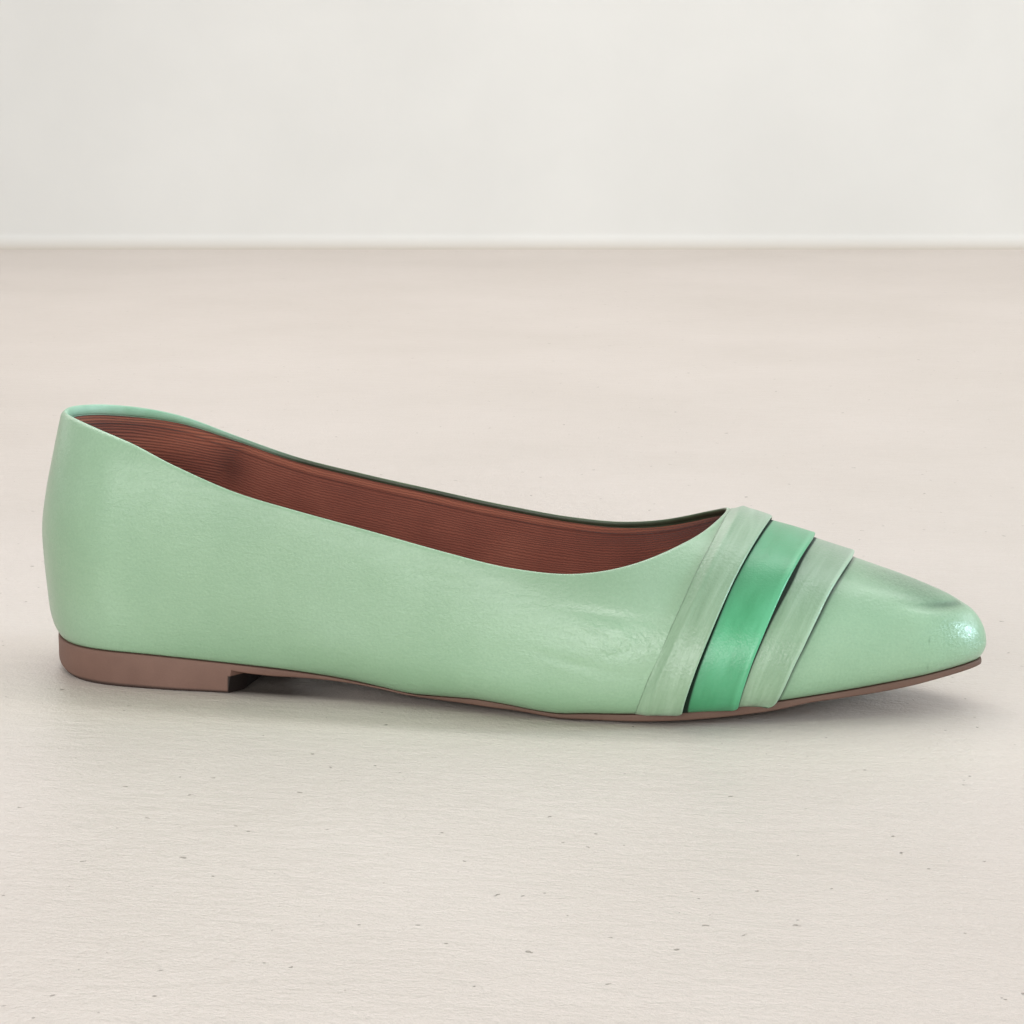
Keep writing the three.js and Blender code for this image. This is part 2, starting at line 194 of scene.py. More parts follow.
def form(s, h, side, g=0.0):
    """points of the form grown (+) or drawn in (-) by g, at height h above its bottom"""
    s, h = np.broadcast_arrays(np.asarray(s, float), np.asarray(h, float))
    sole = tab("soleOut" if side < 0 else "soleIn", s) + g
    wide = tab("wideOut" if side < 0 else "wideIn", s) + g
    H, zw, p = height_of(s, g), belly_of(s, g), tab("power", s)
    q = 1 - np.clip(h / zw, 0, 1)
    low = sole + (wide - sole) * np.sqrt(np.maximum(0, 1 - q * q))
    t = np.clip((h - zw) / (H - zw), 0, 1)
    high = wide * np.maximum(0, 1 - t ** p) ** (1 / p)
    w = np.where(h < zw, low, high) * cap(s)
    return np.stack([form_x(s, h, g), side * w, floor_of(s, g) + h], -1)


def throat_share():
    a, b = 0.6, 0.75
    for _ in range(60):
        m = (a + b) / 2
        if topline_z(m) > tab("bottom", m) + tab("ridge", m):
            b = m
        else:
            a = m
    return (a + b) / 2


THROAT = float(throat_share())


def to_frame(p):
    """mm about the heel end to metres about the frame's origin"""
    q = np.array(p, float)
    q[..., 0] -= ORIGIN_X
    q[..., 1] -= ORIGIN_Y
    return q / 1000.0


# =====================================================================
# A mesh put together from strips; points that coincide are one.
# =====================================================================
class Mesh:
    def __init__(self):
        self.parts, self.count, self.faces = [], 0, []

    def add(self, pts):
        pts = np.asarray(pts, float)
        flat = pts.reshape(-1, 3)
        ids = np.arange(self.count, self.count + len(flat)).reshape(pts.shape[:-1])
        self.parts.append(flat)
        self.count += len(flat)
        return ids

    def grid(self, ids, flip=False, mat=0):
        a, b, c, d = ids[:-1, :-1], ids[:-1, 1:], ids[1:, 1:], ids[1:, :-1]
        quads = np.stack([a, d, c, b] if flip else [a, b, c, d], -1).reshape(-1, 4)
        self.faces.append((quads, mat))

    def fan(self, ring, centre, flip=False, mat=0):
        for i in range(len(ring)):
            j = (i + 1) % len(ring)
            tri = (ring[i], centre, ring[j], ring[j]) if flip else (ring[i], ring[j], centre, centre)
            self.faces.append((np.array([tri]), mat))

    def arrays(self, tol=2e-4):
        """merged points, quads with triangles marked by a repeated corner, materials, old-to-new map"""
        pts = np.concatenate(self.parts)
        key = np.round(pts / tol).astype(np.int64)
        _, first, inv = np.unique(key, axis=0, return_index=True, return_inverse=True)
        inv = inv.reshape(-1)
        order = np.argsort(first)
        rank = np.empty(len(first), int)
        rank[order] = np.arange(len(first))
        remap = rank[inv]
        new = pts[first[order]]
        quads = np.concatenate([remap[f] for f, _ in self.faces])
        mats = np.concatenate([np.full(len(f), m) for f, m in self.faces])
        return new, quads, mats, remap


def clean_faces(quads, mats):
    out, om = [], []
    for q, m in zip(quads.tolist(), mats.tolist()):
        u = []
        for k in q:
            if k not in u:
                u.append(k)
        if len(u) >= 3:
            out.append(u)
            om.append(m)
    return out, om


def normals_of(pts, quads):
    n = np.zeros_like(pts)
    for a, b, c in ((0, 1, 2), (0, 2, 3)):
        A, B, C = pts[quads[:, a]], pts[quads[:, b]], pts[quads[:, c]]
        f = np.cross(B - A, C - A)
        for k in (a, b, c):
            np.add.at(n, quads[:, k], f)
    return n / np.maximum(np.linalg.norm(n, axis=1, keepdims=True), 1e-12)


def make_object(name, mesh, materials, node=None, smooth_angle=None, displace=None, uv=None, uv2=None, wavy=True):
    pts, quads, mats, remap = mesh.arrays()
    # outward
    vol = 0.0
    for a, b, c in ((0, 1, 2), (0, 2, 3)):
        A, B, C = pts[quads[:, a]], pts[quads[:, b]], pts[quads[:, c]]
        vol += float(np.sum(A * np.cross(B, C)))
    if vol < 0:
        quads = quads[:, ::-1]
    if displace is not None:
        pts = pts + displace(pts, normals_of(pts, quads))
    if wavy:
        pts[:, 2] += wave(pts)
    pts[:, 2] = np.maximum(pts[:, 2], 0.0)
    faces, fm = clean_faces(quads, mats)
    me = bpy.data.meshes.new(name)
    me.from_pydata(to_frame(pts).tolist(), [], faces)
    me.validate(clean_customdata=False)
    for m in materials:
        me.materials.append(m)
    me.polygons.foreach_set("material_index", fm)
    me.polygons.foreach_set("use_smooth", [True] * len(faces))
    if uv is not None:
        layer = me.uv_layers.new(name="UVMap")
        loops = np.zeros(len(me.loops), np.int32)
        me.loops.foreach_get("vertex_index", loops)
        coords = uv(pts, remap)
        layer.data.foreach_set("uv", coords[loops].astype(np.float32).ravel())
    if uv2 is not None:
        layer = me.uv_layers.new(name="Band")
        loops = np.zeros(len(me.loops), np.int32)
        me.loops.foreach_get("vertex_index", loops)
        layer.data.foreach_set("uv", uv2(pts)[loops].astype(np.float32).ravel())
    me.update()
    ob = bpy.data.objects.new(name, me)
    bpy.context.scene.collection.objects.link(ob)
    if smooth_angle is not None:
        me.set_sharp_from_angle(angle=math.radians(smooth_angle))
    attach(ob, "root")
    if node:
        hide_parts(node)
    return ob


# =====================================================================
# Materials
# =====================================================================
def srgb(r, g, b):
    def lin(c):
        c /= 255.0
        return c / 12.92 if c <= 0.04045 else ((c + 0.055) / 1.055) ** 2.4
    return (lin(r), lin(g), lin(b), 1.0)


class Nodes:
    """short hand for building a node tree"""
    def __init__(self, name):
        self.mat = bpy.data.materials.new(name)
        self.mat.use_nodes = True
        self.t = self.mat.node_tree
        self.t.nodes.clear()
        self.out = self.t.nodes.new("ShaderNodeOutputMaterial")
        self.bsdf = self.t.nodes.new("ShaderNodeBsdfPrincipled")
        self.t.links.new(self.bsdf.outputs[0], self.out.inputs[0])

    def n(self, kind, **values):
        node = self.t.nodes.new(kind)
        for k, v in values.items():
            if hasattr(node, k):
                setattr(node, k, v)
            else:
                node.inputs[k].default_value = v
        return node

    def link(self, a, b):
        self.t.links.new(a, b)

    def coords(self, kind="Object"):
        return self.n("ShaderNodeTexCoord").outputs[kind]

    def mapping(self, src, scale, loc=(0, 0, 0), rot=(0, 0, 0)):
        m = self.n("ShaderNodeMapping")
        m.inputs["Scale"].default_value = scale
        m.inputs["Location"].default_value = loc
        m.inputs["Rotation"].default_value = rot
        self.link(src, m.inputs["Vector"])
        return m.outputs[0]

    def noise(self, vec, scale, detail=2.0, rough=0.5, distortion=0.0):
        t = self.n("ShaderNodeTexNoise")
        t.inputs["Scale"].default_value = scale
        t.inputs["Detail"].default_value = detail
        t.inputs["Roughness"].default_value = rough
        t.inputs["Distortion"].default_value = distortion
        self.link(vec, t.inputs["Vector"])
        return t.outputs[0]

    def voronoi(self, vec, scale, feature="F1"):
        t = self.n("ShaderNodeTexVoronoi")
        t.feature = feature
        t.inputs["Scale"].default_value = scale
        self.link(vec, t.inputs["Vector"])
        return t.outputs["Distance"]

    def math(self, op, a, b=None, c=None, clamp=False):
        m = self.n("ShaderNodeMath")
        m.operation = op
        m.use_clamp = clamp
        for k, v in enumerate((a, b, c)):
            if v is None:
                continue
            if isinstance(v, (int, float)):
                m.inputs[k].default_value = v
            else:
                self.link(v, m.inputs[k])
        return m.outputs[0]

    def ramp(self, fac, stops):
        r = self.n("ShaderNodeValToRGB")
        el = r.color_ramp.elements
        while len(el) > len(stops):
            el.remove(el[-1])
        while len(el) < len(stops):
            el.new(0.5)
        for e, (pos, col) in zip(el, stops):
            e.position = pos
            e.color = col if isinstance(col, (tuple, list)) else (col, col, col, 1)
        self.link(fac, r.inputs[0])
        return r.outputs[0]

    def mix(self, fac, a, b, kind="MIX"):
        m = self.n("ShaderNodeMix")
        m.data_type = "RGBA"
        m.blend_type = kind
        m.clamp_factor = True
        for sock, v in ((m.inputs[0], fac), (m.inputs[6], a), (m.inputs[7], b)):
            if isinstance(v, (int, float, tuple, list)):
                sock.default_value = v
            else:
                self.link(v, sock)
        return m.outputs[2]

    def bump(self, height, strength, distance, normal=None):
        b = self.n("ShaderNodeBump")
        b.inputs["Strength"].default_value = strength
        b.inputs["Distance"].default_value = distance
        self.link(height, b.inputs["Height"])
        if normal is not None:
            self.link(normal, b.inputs["Normal"])
        return b.outputs[0]

    def split(self, vec):
        s = self.n("ShaderNodeSeparateXYZ")
        self.link(vec, s.inputs[0])
        return s.outputs

    def gauss(self, x, centre, width):
        """exp(-((x-c)/w)^2)"""
        d = self.math("DIVIDE", self.math("SUBTRACT", x, centre), width)
        return self.math("POWER", math.e, self.math("MULTIPLY", self.math("MULTIPLY", d, d), -1.0))

    def spot(self, xyz, centre, radii):
        """soft ellipsoidal mask about a place on the shoe"""
        total = None
        for k in range(3):
            d = self.math("DIVIDE", self.math("SUBTRACT", xyz[k], centre[k]), radii[k])
            q = self.math("MULTIPLY", d, d)
            total = q if total is None else self.math("ADD", total, q)
        return self.math("POWER", math.e, self.math("MULTIPLY", total, -1.0))


def leather_upper():
    m = Nodes("leather_mint")
    obj = m.coords()
    mm = m.mapping(obj, (1000, 1000, 1000))
    xyz = m.split(mm)
    cloud = m.noise(mm, 0.040, 3, 0.5)
    fine = m.noise(mm, 1.5, 4, 0.75)
    base = m.ramp(cloud, [(0.3, srgb(154, 190, 156)), (0.5, srgb(161, 196, 162)), (0.7, srgb(168, 202, 170))])
    speckle = m.ramp(fine, [(0.35, (0.0, 0.0, 0.0, 1)), (0.65, (1.0, 1.0, 1.0, 1))])
    base = m.mix(m.math("MULTIPLY", speckle, 0.36), base, srgb(134, 172, 138))
    # painted shade: the back of the heel and the vamp's upper part are darkened
    back = m.math("DIVIDE", m.math("SUBTRACT", -96.0, xyz[0]), 26.0, clamp=True)
    base = m.mix(m.math("MULTIPLY", back, 0.42), base, srgb(122, 152, 120))
    high = m.math("MULTIPLY", m.math("DIVIDE", m.math("SUBTRACT", xyz[2], 25.0), 10.0, clamp=True),
                  m.math("DIVIDE", m.math("SUBTRACT", xyz[0], -15.0), 45.0, clamp=True))
    base = m.mix(m.math("MULTIPLY", high, 0.42), base, srgb(122, 152, 120))
    # painted shade, darker along the feather line
    low = m.math("SUBTRACT", 1.0, m.math("DIVIDE", xyz[2], 26.0), clamp=True)
    base = m.mix(m.math("MULTIPLY", m.math("MULTIPLY", low, low), 0.45), base, srgb(112, 164, 120))
    # the toe: painted shade of a soft fold beside the ridge, and painted shade on the ridge behind it
    bend = m.math("SUBTRACT", 26.9, m.math("MULTIPLY", m.math("SUBTRACT", xyz[0], 106.4), 0.09))
    off = m.math("SUBTRACT", xyz[2], bend)
    line = m.gauss(off, 0.0, 0.75)
    reach = m.gauss(xyz[0], 113.8, 6.0)
    near = m.math("DIVIDE", m.math("SUBTRACT", 5.0, xyz[1]), 5.0, clamp=True)
    painted_fold_shade = m.math("MULTIPLY", m.math("MULTIPLY", line, reach), near)
    base = m.mix(m.math("MULTIPLY", painted_fold_shade, 0.72), base, srgb(62, 92, 66))
    above = m.math("MULTIPLY", m.math("DIVIDE", m.math("SUBTRACT", off, 0.1), 1.2, clamp=True), m.gauss(xyz[0], 110.0, 6.5))
    base = m.mix(m.math("MULTIPLY", above, 0.3), base, srgb(84, 118, 88))
    painted_ridge_shade = m.math("MULTIPLY", m.math("DIVIDE", m.math("ADD", xyz[1], 12.0), 7.0, clamp=True),
                   m.math("DIVIDE", m.math("SUBTRACT", 9.0, xyz[1]), 7.0, clamp=True))
    painted_ridge_shade = m.math("MULTIPLY", m.math("MULTIPLY", painted_ridge_shade, m.gauss(xyz[0], 103.0, 13.5)), m.math("ADD", 0.7, m.math("MULTIPLY", speckle, 0.5)))
    base = m.mix(m.math("MULTIPLY", painted_ridge_shade, 0.54), base, srgb(76, 106, 80))
    # painted shade over the quarter
    base = m.mix(m.math("MULTIPLY", m.gauss(xyz[0], -45.0, 38.0), 0.16), base, srgb(122, 152, 120))
    # two small nicks in the toe
    for place in ((110.2, -13.2, 19.2), (110.0, -15.2, 12.4)):
        base = m.mix(m.math("MULTIPLY", m.spot(xyz, place, (0.24, 3.0, 0.8)), 0.45), base, srgb(92, 126, 96))
    # shade where the vamp runs under the front band
    ahead = m.n("ShaderNodeUVMap")
    ahead.uv_map = "Band"
    c = m.split(ahead.outputs[0])[0]
    tight = m.math("SUBTRACT", 1.0, m.math("DIVIDE", m.math("ABSOLUTE", m.math("SUBTRACT", c, 0.1)), 1.0), clamp=True)
    soft = m.math("SUBTRACT", 1.0, m.math("DIVIDE", m.math("ABSOLUTE", c), 6.0), clamp=True)
    base = m.mix(m.math("MULTIPLY", soft, 0.22), base, srgb(118, 160, 122))
    base = m.mix(m.math("MULTIPLY", tight, 0.92), base, srgb(26, 46, 32))
    m.link(base, m.bsdf.inputs["Base Color"])
    rough = m.math("ADD", 0.40, m.math("MULTIPLY", m.math("SUBTRACT", cloud, 0.5), 0.2))
    rough = m.math("SUBTRACT", rough, m.math("MULTIPLY", m.spot(xyz, (117.0, -8.0, 20.0), (9.0, 9.0, 7.0)), 0.14))
    m.link(rough, m.bsdf.inputs["Roughness"])
    m.bsdf.inputs["Specular IOR Level"].default_value = 0.5
    m.bsdf.inputs["Coat Weight"].default_value = 0.55
    m.bsdf.inputs["Coat Roughness"].default_value = 0.23
    # grain: small cells, hair creases, and rings about the ball
    cells = m.voronoi(mm, 1.15, "F1")
    pebble = m.noise(mm, 2.0, 3, 0.65)
    grain = m.math("ADD", m.math("MULTIPLY", cells, 0.8), m.math("MULTIPLY", pebble, 0.7))
    hair = m.noise(m.mapping(mm, (0.16, 0.16, 0.5), rot=(0, 0.35, 0)), 1.0, 5, 0.65, 1.5)
    hair = m.math("ABSOLUTE", m.math("SUBTRACT", hair, 0.5))
    dx = m.math("SUBTRACT", xyz[0], 14.0)
    dz = m.math("MULTIPLY", m.math("SUBTRACT", xyz[2], 8.0), 1.4)
    r = m.math("SQRT", m.math("ADD", m.math("MULTIPLY", dx, dx), m.math("MULTIPLY", dz, dz)))
    wob = m.noise(m.mapping(mm, (0.16, 0.16, 0.16)), 1.0, 5, 0.7)
    ring = m.math("SINE", m.math("MULTIPLY", m.math("ADD", r, m.math("MULTIPLY", wob, 9.0)), 2.6))
    ring = m.math("MULTIPLY", ring, m.noise(m.mapping(mm, (0.55, 0.55, 0.55)), 1.0, 2, 0.6))
    ball = m.spot(xyz, (38.0, -42.0, 21.5), (13.0, 16.0, 6.5))
    patch = m.noise(m.mapping(mm, (0.2, 0.2, 0.3)), 1.0, 2, 0.5)
    ring = m.math("MULTIPLY", m.math("MULTIPLY", ring, ball), m.math("MULTIPLY", patch, patch))
    height = m.math("ADD", m.math("MULTIPLY", grain, 0.075), m.math("MULTIPLY", hair, 0.25))
    height = m.math("ADD", height, m.math("MULTIPLY", ring, 0.34))
    m.link(m.bump(height, 0.9, 0.001), m.bsdf.inputs["Normal"])
    m.link(m.bump(height, 0.42, 0.001), m.bsdf.inputs["Coat Normal"])
    return m.mat


def leather_rim():
    """the folded edge: light where it is wide at the back, dark where it is thin"""
    m = Nodes("leather_rim")
    mm = m.mapping(m.coords(), (1000, 1000, 1000))
    along = m.math("ABSOLUTE", m.split(m.coords("UV"))[0])
    cloud = m.noise(mm, 0.12, 3, 0.55)
    light = m.ramp(cloud, [(0.35, srgb(143, 190, 158)), (0.65, srgb(166, 208, 182))])
    dark = m.ramp(cloud, [(0.35, srgb(80, 98, 70)), (0.65, srgb(108, 128, 94))])
    k = m.math("DIVIDE", m.math("SUBTRACT", along, 40.0), 32.0, clamp=True)
    # painted shade where the thin rim turns down inside the shoe
    inner = m.math("DIVIDE", m.math("SUBTRACT", m.split(m.coords("UV"))[1], 0.55), 0.5, clamp=True)
    dark = m.mix(m.math("MULTIPLY", inner, 0.75), dark, srgb(34, 36, 26))
    m.link(m.mix(k, light, dark), m.bsdf.inputs["Base Color"])
    m.bsdf.inputs["Roughness"].default_value = 0.5
    m.bsdf.inputs["Coat Weight"].default_value = 0.1
    m.bsdf.inputs["Coat Roughness"].default_value = 0.3
    height = m.math("ADD", m.math("MULTIPLY", m.voronoi(mm, 1.6, "SMOOTH_F1"), 0.5), m.noise(mm, 2.2, 3, 0.6))
    m.link(m.bump(height, 0.25, 0.0003), m.bsdf.inputs["Normal"])
    return m.mat


def strap_pale(name, seed):
    m = Nodes(name)
    uv = m.coords("UV")  # u across the band in mm, v along it in mm
    mm = m.mapping(m.coords(), (1000, 1000, 1000))
    xyz = m.split(mm)
    across = m.split(uv)[0]
    turned = m.mapping(uv, (0.34, 0.035, 1), loc=(seed, 0, 0), rot=(0, 0, 0.06))
    streak = m.noise(turned, 1.0, 4, 0.6, 0.5)
    brush = m.noise(m.mapping(uv, (1.6, 0.10, 1), loc=(0, seed, 0), rot=(0, 0, 0.10)), 1.0, 3, 0.6, 0.4)
    cloud = m.noise(mm, 0.11, 3, 0.55)
    base = m.ramp(streak, [(0.32, srgb(130, 163, 130)), (0.5, srgb(146, 178, 145)), (0.68, srgb(166, 196, 166))])
    base = m.mix(m.math("MULTIPLY", brush, 0.26), base, srgb(163, 195, 167))
    base = m.mix(m.math("MULTIPLY", cloud, 0.35), base, srgb(133, 168, 132))
    # painted shade on the upper part of the band
    high = m.math("DIVIDE", m.math("SUBTRACT", xyz[2], 24.0), 12.0, clamp=True)
    base = m.mix(m.math("MULTIPLY", high, 0.6 if "front" in name else 0.32), base, srgb(110, 138, 112))
    # the turned front edge carries a painted highlight, and a painted shade lies where the band comes out from under
    # the other
    painted_lip_highlight = m.math("DIVIDE", m.math("SUBTRACT", across, 10.3), 0.9, clamp=True)
    base = m.mix(m.math("MULTIPLY", painted_lip_highlight, 0.6), base, srgb(184, 216, 188))
    under = m.math("ADD", 1.15, m.math("MULTIPLY", m.gauss(m.split(uv)[1], 37.0, 9.0), 0.75))
    shade = m.math("DIVIDE", m.math("SUBTRACT", under, across), 0.45, clamp=True)
    base = m.mix(m.math("MULTIPLY", shade, 0.0 if "rear" in name else 0.93), base, srgb(11, 21, 14))
    m.link(base, m.bsdf.inputs["Base Color"])
    dull = m.math("MULTIPLY", shade, 0.0 if "rear" in name else 1.0)
    m.link(m.math("MAXIMUM", m.math("ADD", 0.30, m.math("MULTIPLY", brush, 0.16)), dull), m.bsdf.inputs["Roughness"])
    m.link(m.math("MULTIPLY", m.math("SUBTRACT", 1.0, dull), 0.36), m.bsdf.inputs["Coat Weight"])
    m.bsdf.inputs["Coat Roughness"].default_value = 0.2
    m.bsdf.inputs["Sheen Weight"].default_value = 0.1
    cells = m.voronoi(mm, 1.25, "SMOOTH_F1")
    pebble = m.noise(mm, 1.6, 3, 0.6)
    height = m.math("ADD", m.math("MULTIPLY", cells, 0.5), m.math("MULTIPLY", pebble, 0.6))
    height = m.math("ADD", height, m.math("MULTIPLY", brush, 0.5))
    n = m.bump(height, 0.42, 0.00040)
    m.link(n, m.bsdf.inputs["Normal"])
    m.link(n, m.bsdf.inputs["Coat Normal"])
    return m.mat


def strap_green():
    m = Nodes("leather_emerald")
    uv = m.coords("UV")
    mm = m.mapping(m.coords(), (1000, 1000, 1000))
    xyz = m.split(mm)
    cloud = m.noise(m.mapping(uv, (0.18, 0.05, 1)), 1.0, 3, 0.55)
    fine = m.noise(mm, 1.1, 4, 0.6)
    base = m.ramp(cloud, [(0.3, srgb(74, 169, 116)), (0.5, srgb(91, 188, 135)), (0.72, srgb(107, 201, 151))])
    base = m.mix(m.math("MULTIPLY", fine, 0.2), base, srgb(62, 152, 101))
    across = m.split(uv)[0]
    # darker towards the bottom, and painted shade on the upper part of the band
    low = m.math("SUBTRACT", 1.0, m.math("DIVIDE", xyz[2], 24.0), clamp=True)
    base = m.mix(m.math("MULTIPLY", low, 0.7), base, srgb(50, 122, 80))
    high = m.math("DIVIDE", m.math("SUBTRACT", xyz[2], 23.0), 12.0, clamp=True)
    base = m.mix(m.math("MULTIPLY", high, 0.6), base, srgb(64, 134, 92))
    under = m.math("ADD", 0.95, m.math("MULTIPLY", m.math("SUBTRACT", 1.0, m.math("DIVIDE", m.split(uv)[1], 36.0), clamp=True), 1.0))
    shade = m.math("DIVIDE", m.math("SUBTRACT", under, across), 0.45, clamp=True)
    base = m.mix(m.math("MULTIPLY", shade, 0.95), base, srgb(6, 17, 11))
    # painted highlight on the turned front edge
    painted_lip_highlight = m.math("DIVIDE", m.math("SUBTRACT", across, 10.4), 1.0, clamp=True)
    base = m.mix(m.math("MULTIPLY", painted_lip_highlight, 0.35), base, srgb(112, 206, 156))
    m.link(base, m.bsdf.inputs["Base Color"])
    m.link(m.math("MAXIMUM", m.math("ADD", 0.3, m.math("MULTIPLY", cloud, 0.12)), shade), m.bsdf.inputs["Roughness"])
    m.link(m.math("MULTIPLY", m.math("SUBTRACT", 1.0, shade), 0.34), m.bsdf.inputs["Coat Weight"])
    m.bsdf.inputs["Coat Roughness"].default_value = 0.25
    height = m.math("ADD", m.math("MULTIPLY", m.voronoi(mm, 1.5, "SMOOTH_F1"), 0.5), m.noise(mm, 1.8, 3, 0.6))
    n = m.bump(height, 0.22, 0.0003)
    m.link(n, m.bsdf.inputs["Normal"])
    m.link(n, m.bsdf.inputs["Coat Normal"])
    return m.mat


def textile(name):
    """ribbed lining: u along the topline in mm, v = distance from the topline in mm"""
    m = Nodes(name)
    uv = m.coords("UV")
    u, v = m.split(uv)[0], m.split(uv)[1]
    mm = m.mapping(m.coords(), (1000, 1000, 1000))
    xyz = m.split(mm)
    along = m.math("ABSOLUTE", u)
    # rim depth as built: deep at the back, thin ahead
    k = m.math("DIVIDE", m.math("SUBTRACT", along, 18.0), 40.0, clamp=True)
    below = m.math("SUBTRACT", v, m.math("SUBTRACT", 2.65, m.math("MULTIPLY", k, 1.38)))
    wob = m.noise(m.mapping(uv, (0.05, 0.25, 1)), 1.0, 2, 0.5)
    # back piece: ribs nearly level; front piece: ribs along the topline, finer
    q_back = m.math("ADD", xyz[2], m.math("MULTIPLY", xyz[0], 0.17))
    ph_back = m.math("MULTIPLY", m.math("ADD", q_back, m.math("MULTIPLY", wob, 1.5)), 2 * math.pi / 0.84)
    zig = m.math("MULTIPLY", m.math("SINE", m.math("MULTIPLY", u, 2 * math.pi / 1.7)), 0.55)
    ph_front = m.math("MULTIPLY", m.math("ADD", v, m.math("MULTIPLY", wob, 1.6)), 2 * math.pi / 0.7)
    ph_front = m.math("ADD", ph_front, zig)
    join = m.math("SUBTRACT", xyz[0], m.math("MULTIPLY", m.math("SUBTRACT", xyz[2], 50.0), 0.9))
    w = m.math("DIVIDE", m.math("ADD", join, 82.0), 3.0, clamp=True)
    rib_b = m.math("POWER", m.math("MULTIPLY", m.math("ADD", m.math("SINE", ph_back), 1.0), 0.5), 0.6)
    rib_f = m.math("POWER", m.math("MULTIPLY", m.math("ADD", m.math("SINE", ph_front), 1.0), 0.5), 0.8)
    rib = m.math("ADD", m.math("MULTIPLY", rib_b, m.math("SUBTRACT", 1.0, w)), m.math("MULTIPLY", rib_f, w))
    thread = m.noise(m.mapping(uv, (3.0, 1.6, 1)), 1.0, 3, 0.7)
    cloud = m.noise(mm, 0.05, 3, 0.55)
    base = m.ramp(cloud, [(0.3, srgb(146, 87, 71)), (0.5, srgb(162, 98, 80)), (0.72, srgb(180, 113, 92))])
    # painted shade in the grooves between the ribs
    deep = m.math("MULTIPLY", m.math("SUBTRACT", 1.0, rib), m.math("SUBTRACT", 0.8, m.math("MULTIPLY", w, 0.38)))
    base = m.mix(deep, base, srgb(92, 44, 37))
    base = m.mix(m.math("MULTIPLY", thread, 0.55), base, srgb(118, 62, 51))
    # lighter folded edge under the rim, then a stitched furrow
    edge = m.gauss(below, 0.9, 0.9)
    base = m.mix(m.math("MULTIPLY", edge, 0.5), base, srgb(196, 124, 98))
    line = m.gauss(below, 2.35, 0.26)
    base = m.mix(m.math("MULTIPLY", line, 0.5), base, srgb(60, 28, 24))
    # painted shadow just under the rim's edge
    painted_rim_shadow = m.gauss(below, -0.05, 0.25)
    base = m.mix(m.math("MULTIPLY", painted_rim_shadow, 0.8), base, srgb(52, 26, 22))
    # painted light on the lining at the back of the heel
    painted_light_spot = m.spot(xyz, (-96.0, 24.0, 56.0), (15.0, 14.0, 4.0))
    base = m.mix(m.math("MULTIPLY", painted_light_spot, 0.36), base, srgb(222, 140, 112))
    # painted shade of a soft diagonal fold on the inner side
    painted_fold_shade = m.spot(xyz, (-81.0, 26.5, 48.5), (4.5, 12.0, 5.5))
    base = m.mix(m.math("MULTIPLY", painted_fold_shade, 0.55), base, srgb(58, 26, 24))
    m.link(base, m.bsdf.inputs["Base Color"])
    m.bsdf.inputs["Roughness"].default_value = 0.86
    m.bsdf.inputs["Specular IOR Level"].default_value = 0.25
    m.bsdf.inputs["Sheen Weight"].default_value = 0.25
    m.bsdf.inputs["Sheen Roughness"].default_value = 0.5
    height = m.math("ADD", m.math("MULTIPLY", rib, m.math("SUBTRACT", 1.0, m.math("MULTIPLY", w, 0.5))),
                    m.math("MULTIPLY", thread, 0.5))
    height = m.math("SUBTRACT", height, m.math("MULTIPLY", line, 0.6))
    m.link(m.bump(height, 0.6, 0.0005), m.bsdf.inputs["Normal"])
    return m.mat


def shaded_band_underside():
    """raw underside of the bands, darkened as painted shade"""
    m = Nodes("band_underside_shaded")
    mm = m.mapping(m.coords(), (1000, 1000, 1000))
    m.link(m.ramp(m.noise(mm, 1.2, 3, 0.6), [(0.3, srgb(26, 48, 34)), (0.7, srgb(44, 74, 52))]), m.bsdf.inputs["Base Color"])
    m.bsdf.inputs["Roughness"].default_value = 0.9
    m.bsdf.inputs["Specular IOR Level"].default_value = 0.1
    return m.mat


def sock_material():
    m = Nodes("sock_textile")
    mm = m.mapping(m.coords(), (1000, 1000, 1000))
    xyz = m.split(mm)
    twill = m.math("SINE", m.math("MULTIPLY", m.math("ADD", xyz[0], xyz[1]), 2 * math.pi / 1.1))
    twill = m.math("MULTIPLY", m.math("ADD", twill, 1.0), 0.5)
    thread = m.noise(mm, 2.0, 3, 0.7)
    cloud = m.noise(mm, 0.05, 3, 0.5)
    base = m.ramp(cloud, [(0.3, srgb(112, 64, 52)), (0.7, srgb(140, 84, 68))])
    base = m.mix(m.math("MULTIPLY", twill, 0.3), base, srgb(84, 44, 37))
    base = m.mix(m.math("MULTIPLY", thread, 0.3), base, srgb(98, 54, 45))
    m.link(base, m.bsdf.inputs["Base Color"])
    m.bsdf.inputs["Roughness"].default_value = 0.85
    m.bsdf.inputs["Specular IOR Level"].default_value = 0.25
    m.bsdf.inputs["Sheen Weight"].default_value = 0.2
    m.link(m.bump(m.math("ADD", twill, thread), 0.45, 0.0003), m.bsdf.inputs["Normal"])
    return m.mat


# visible height of the sole's edge (mm) over the share of the length, and how far the bevel under it runs in
EDGE = [(0.20, 2.8), (0.24, 2.7), (0.28, 2.1), (0.314, 1.45), (0.39, 0.6), (0.43, 0.45), (0.47, 1.0), (0.506, 1.5), (0.57, 1.05), (0.60, 1.4),
        (0.636, 1.65), (0.70, 1.9), (0.76, 2.15), (0.80, 2.1), (0.833, 1.55), (0.863, 1.7), (0.91, 2.0), (0.964, 1.7), (1.0, 1.6)]


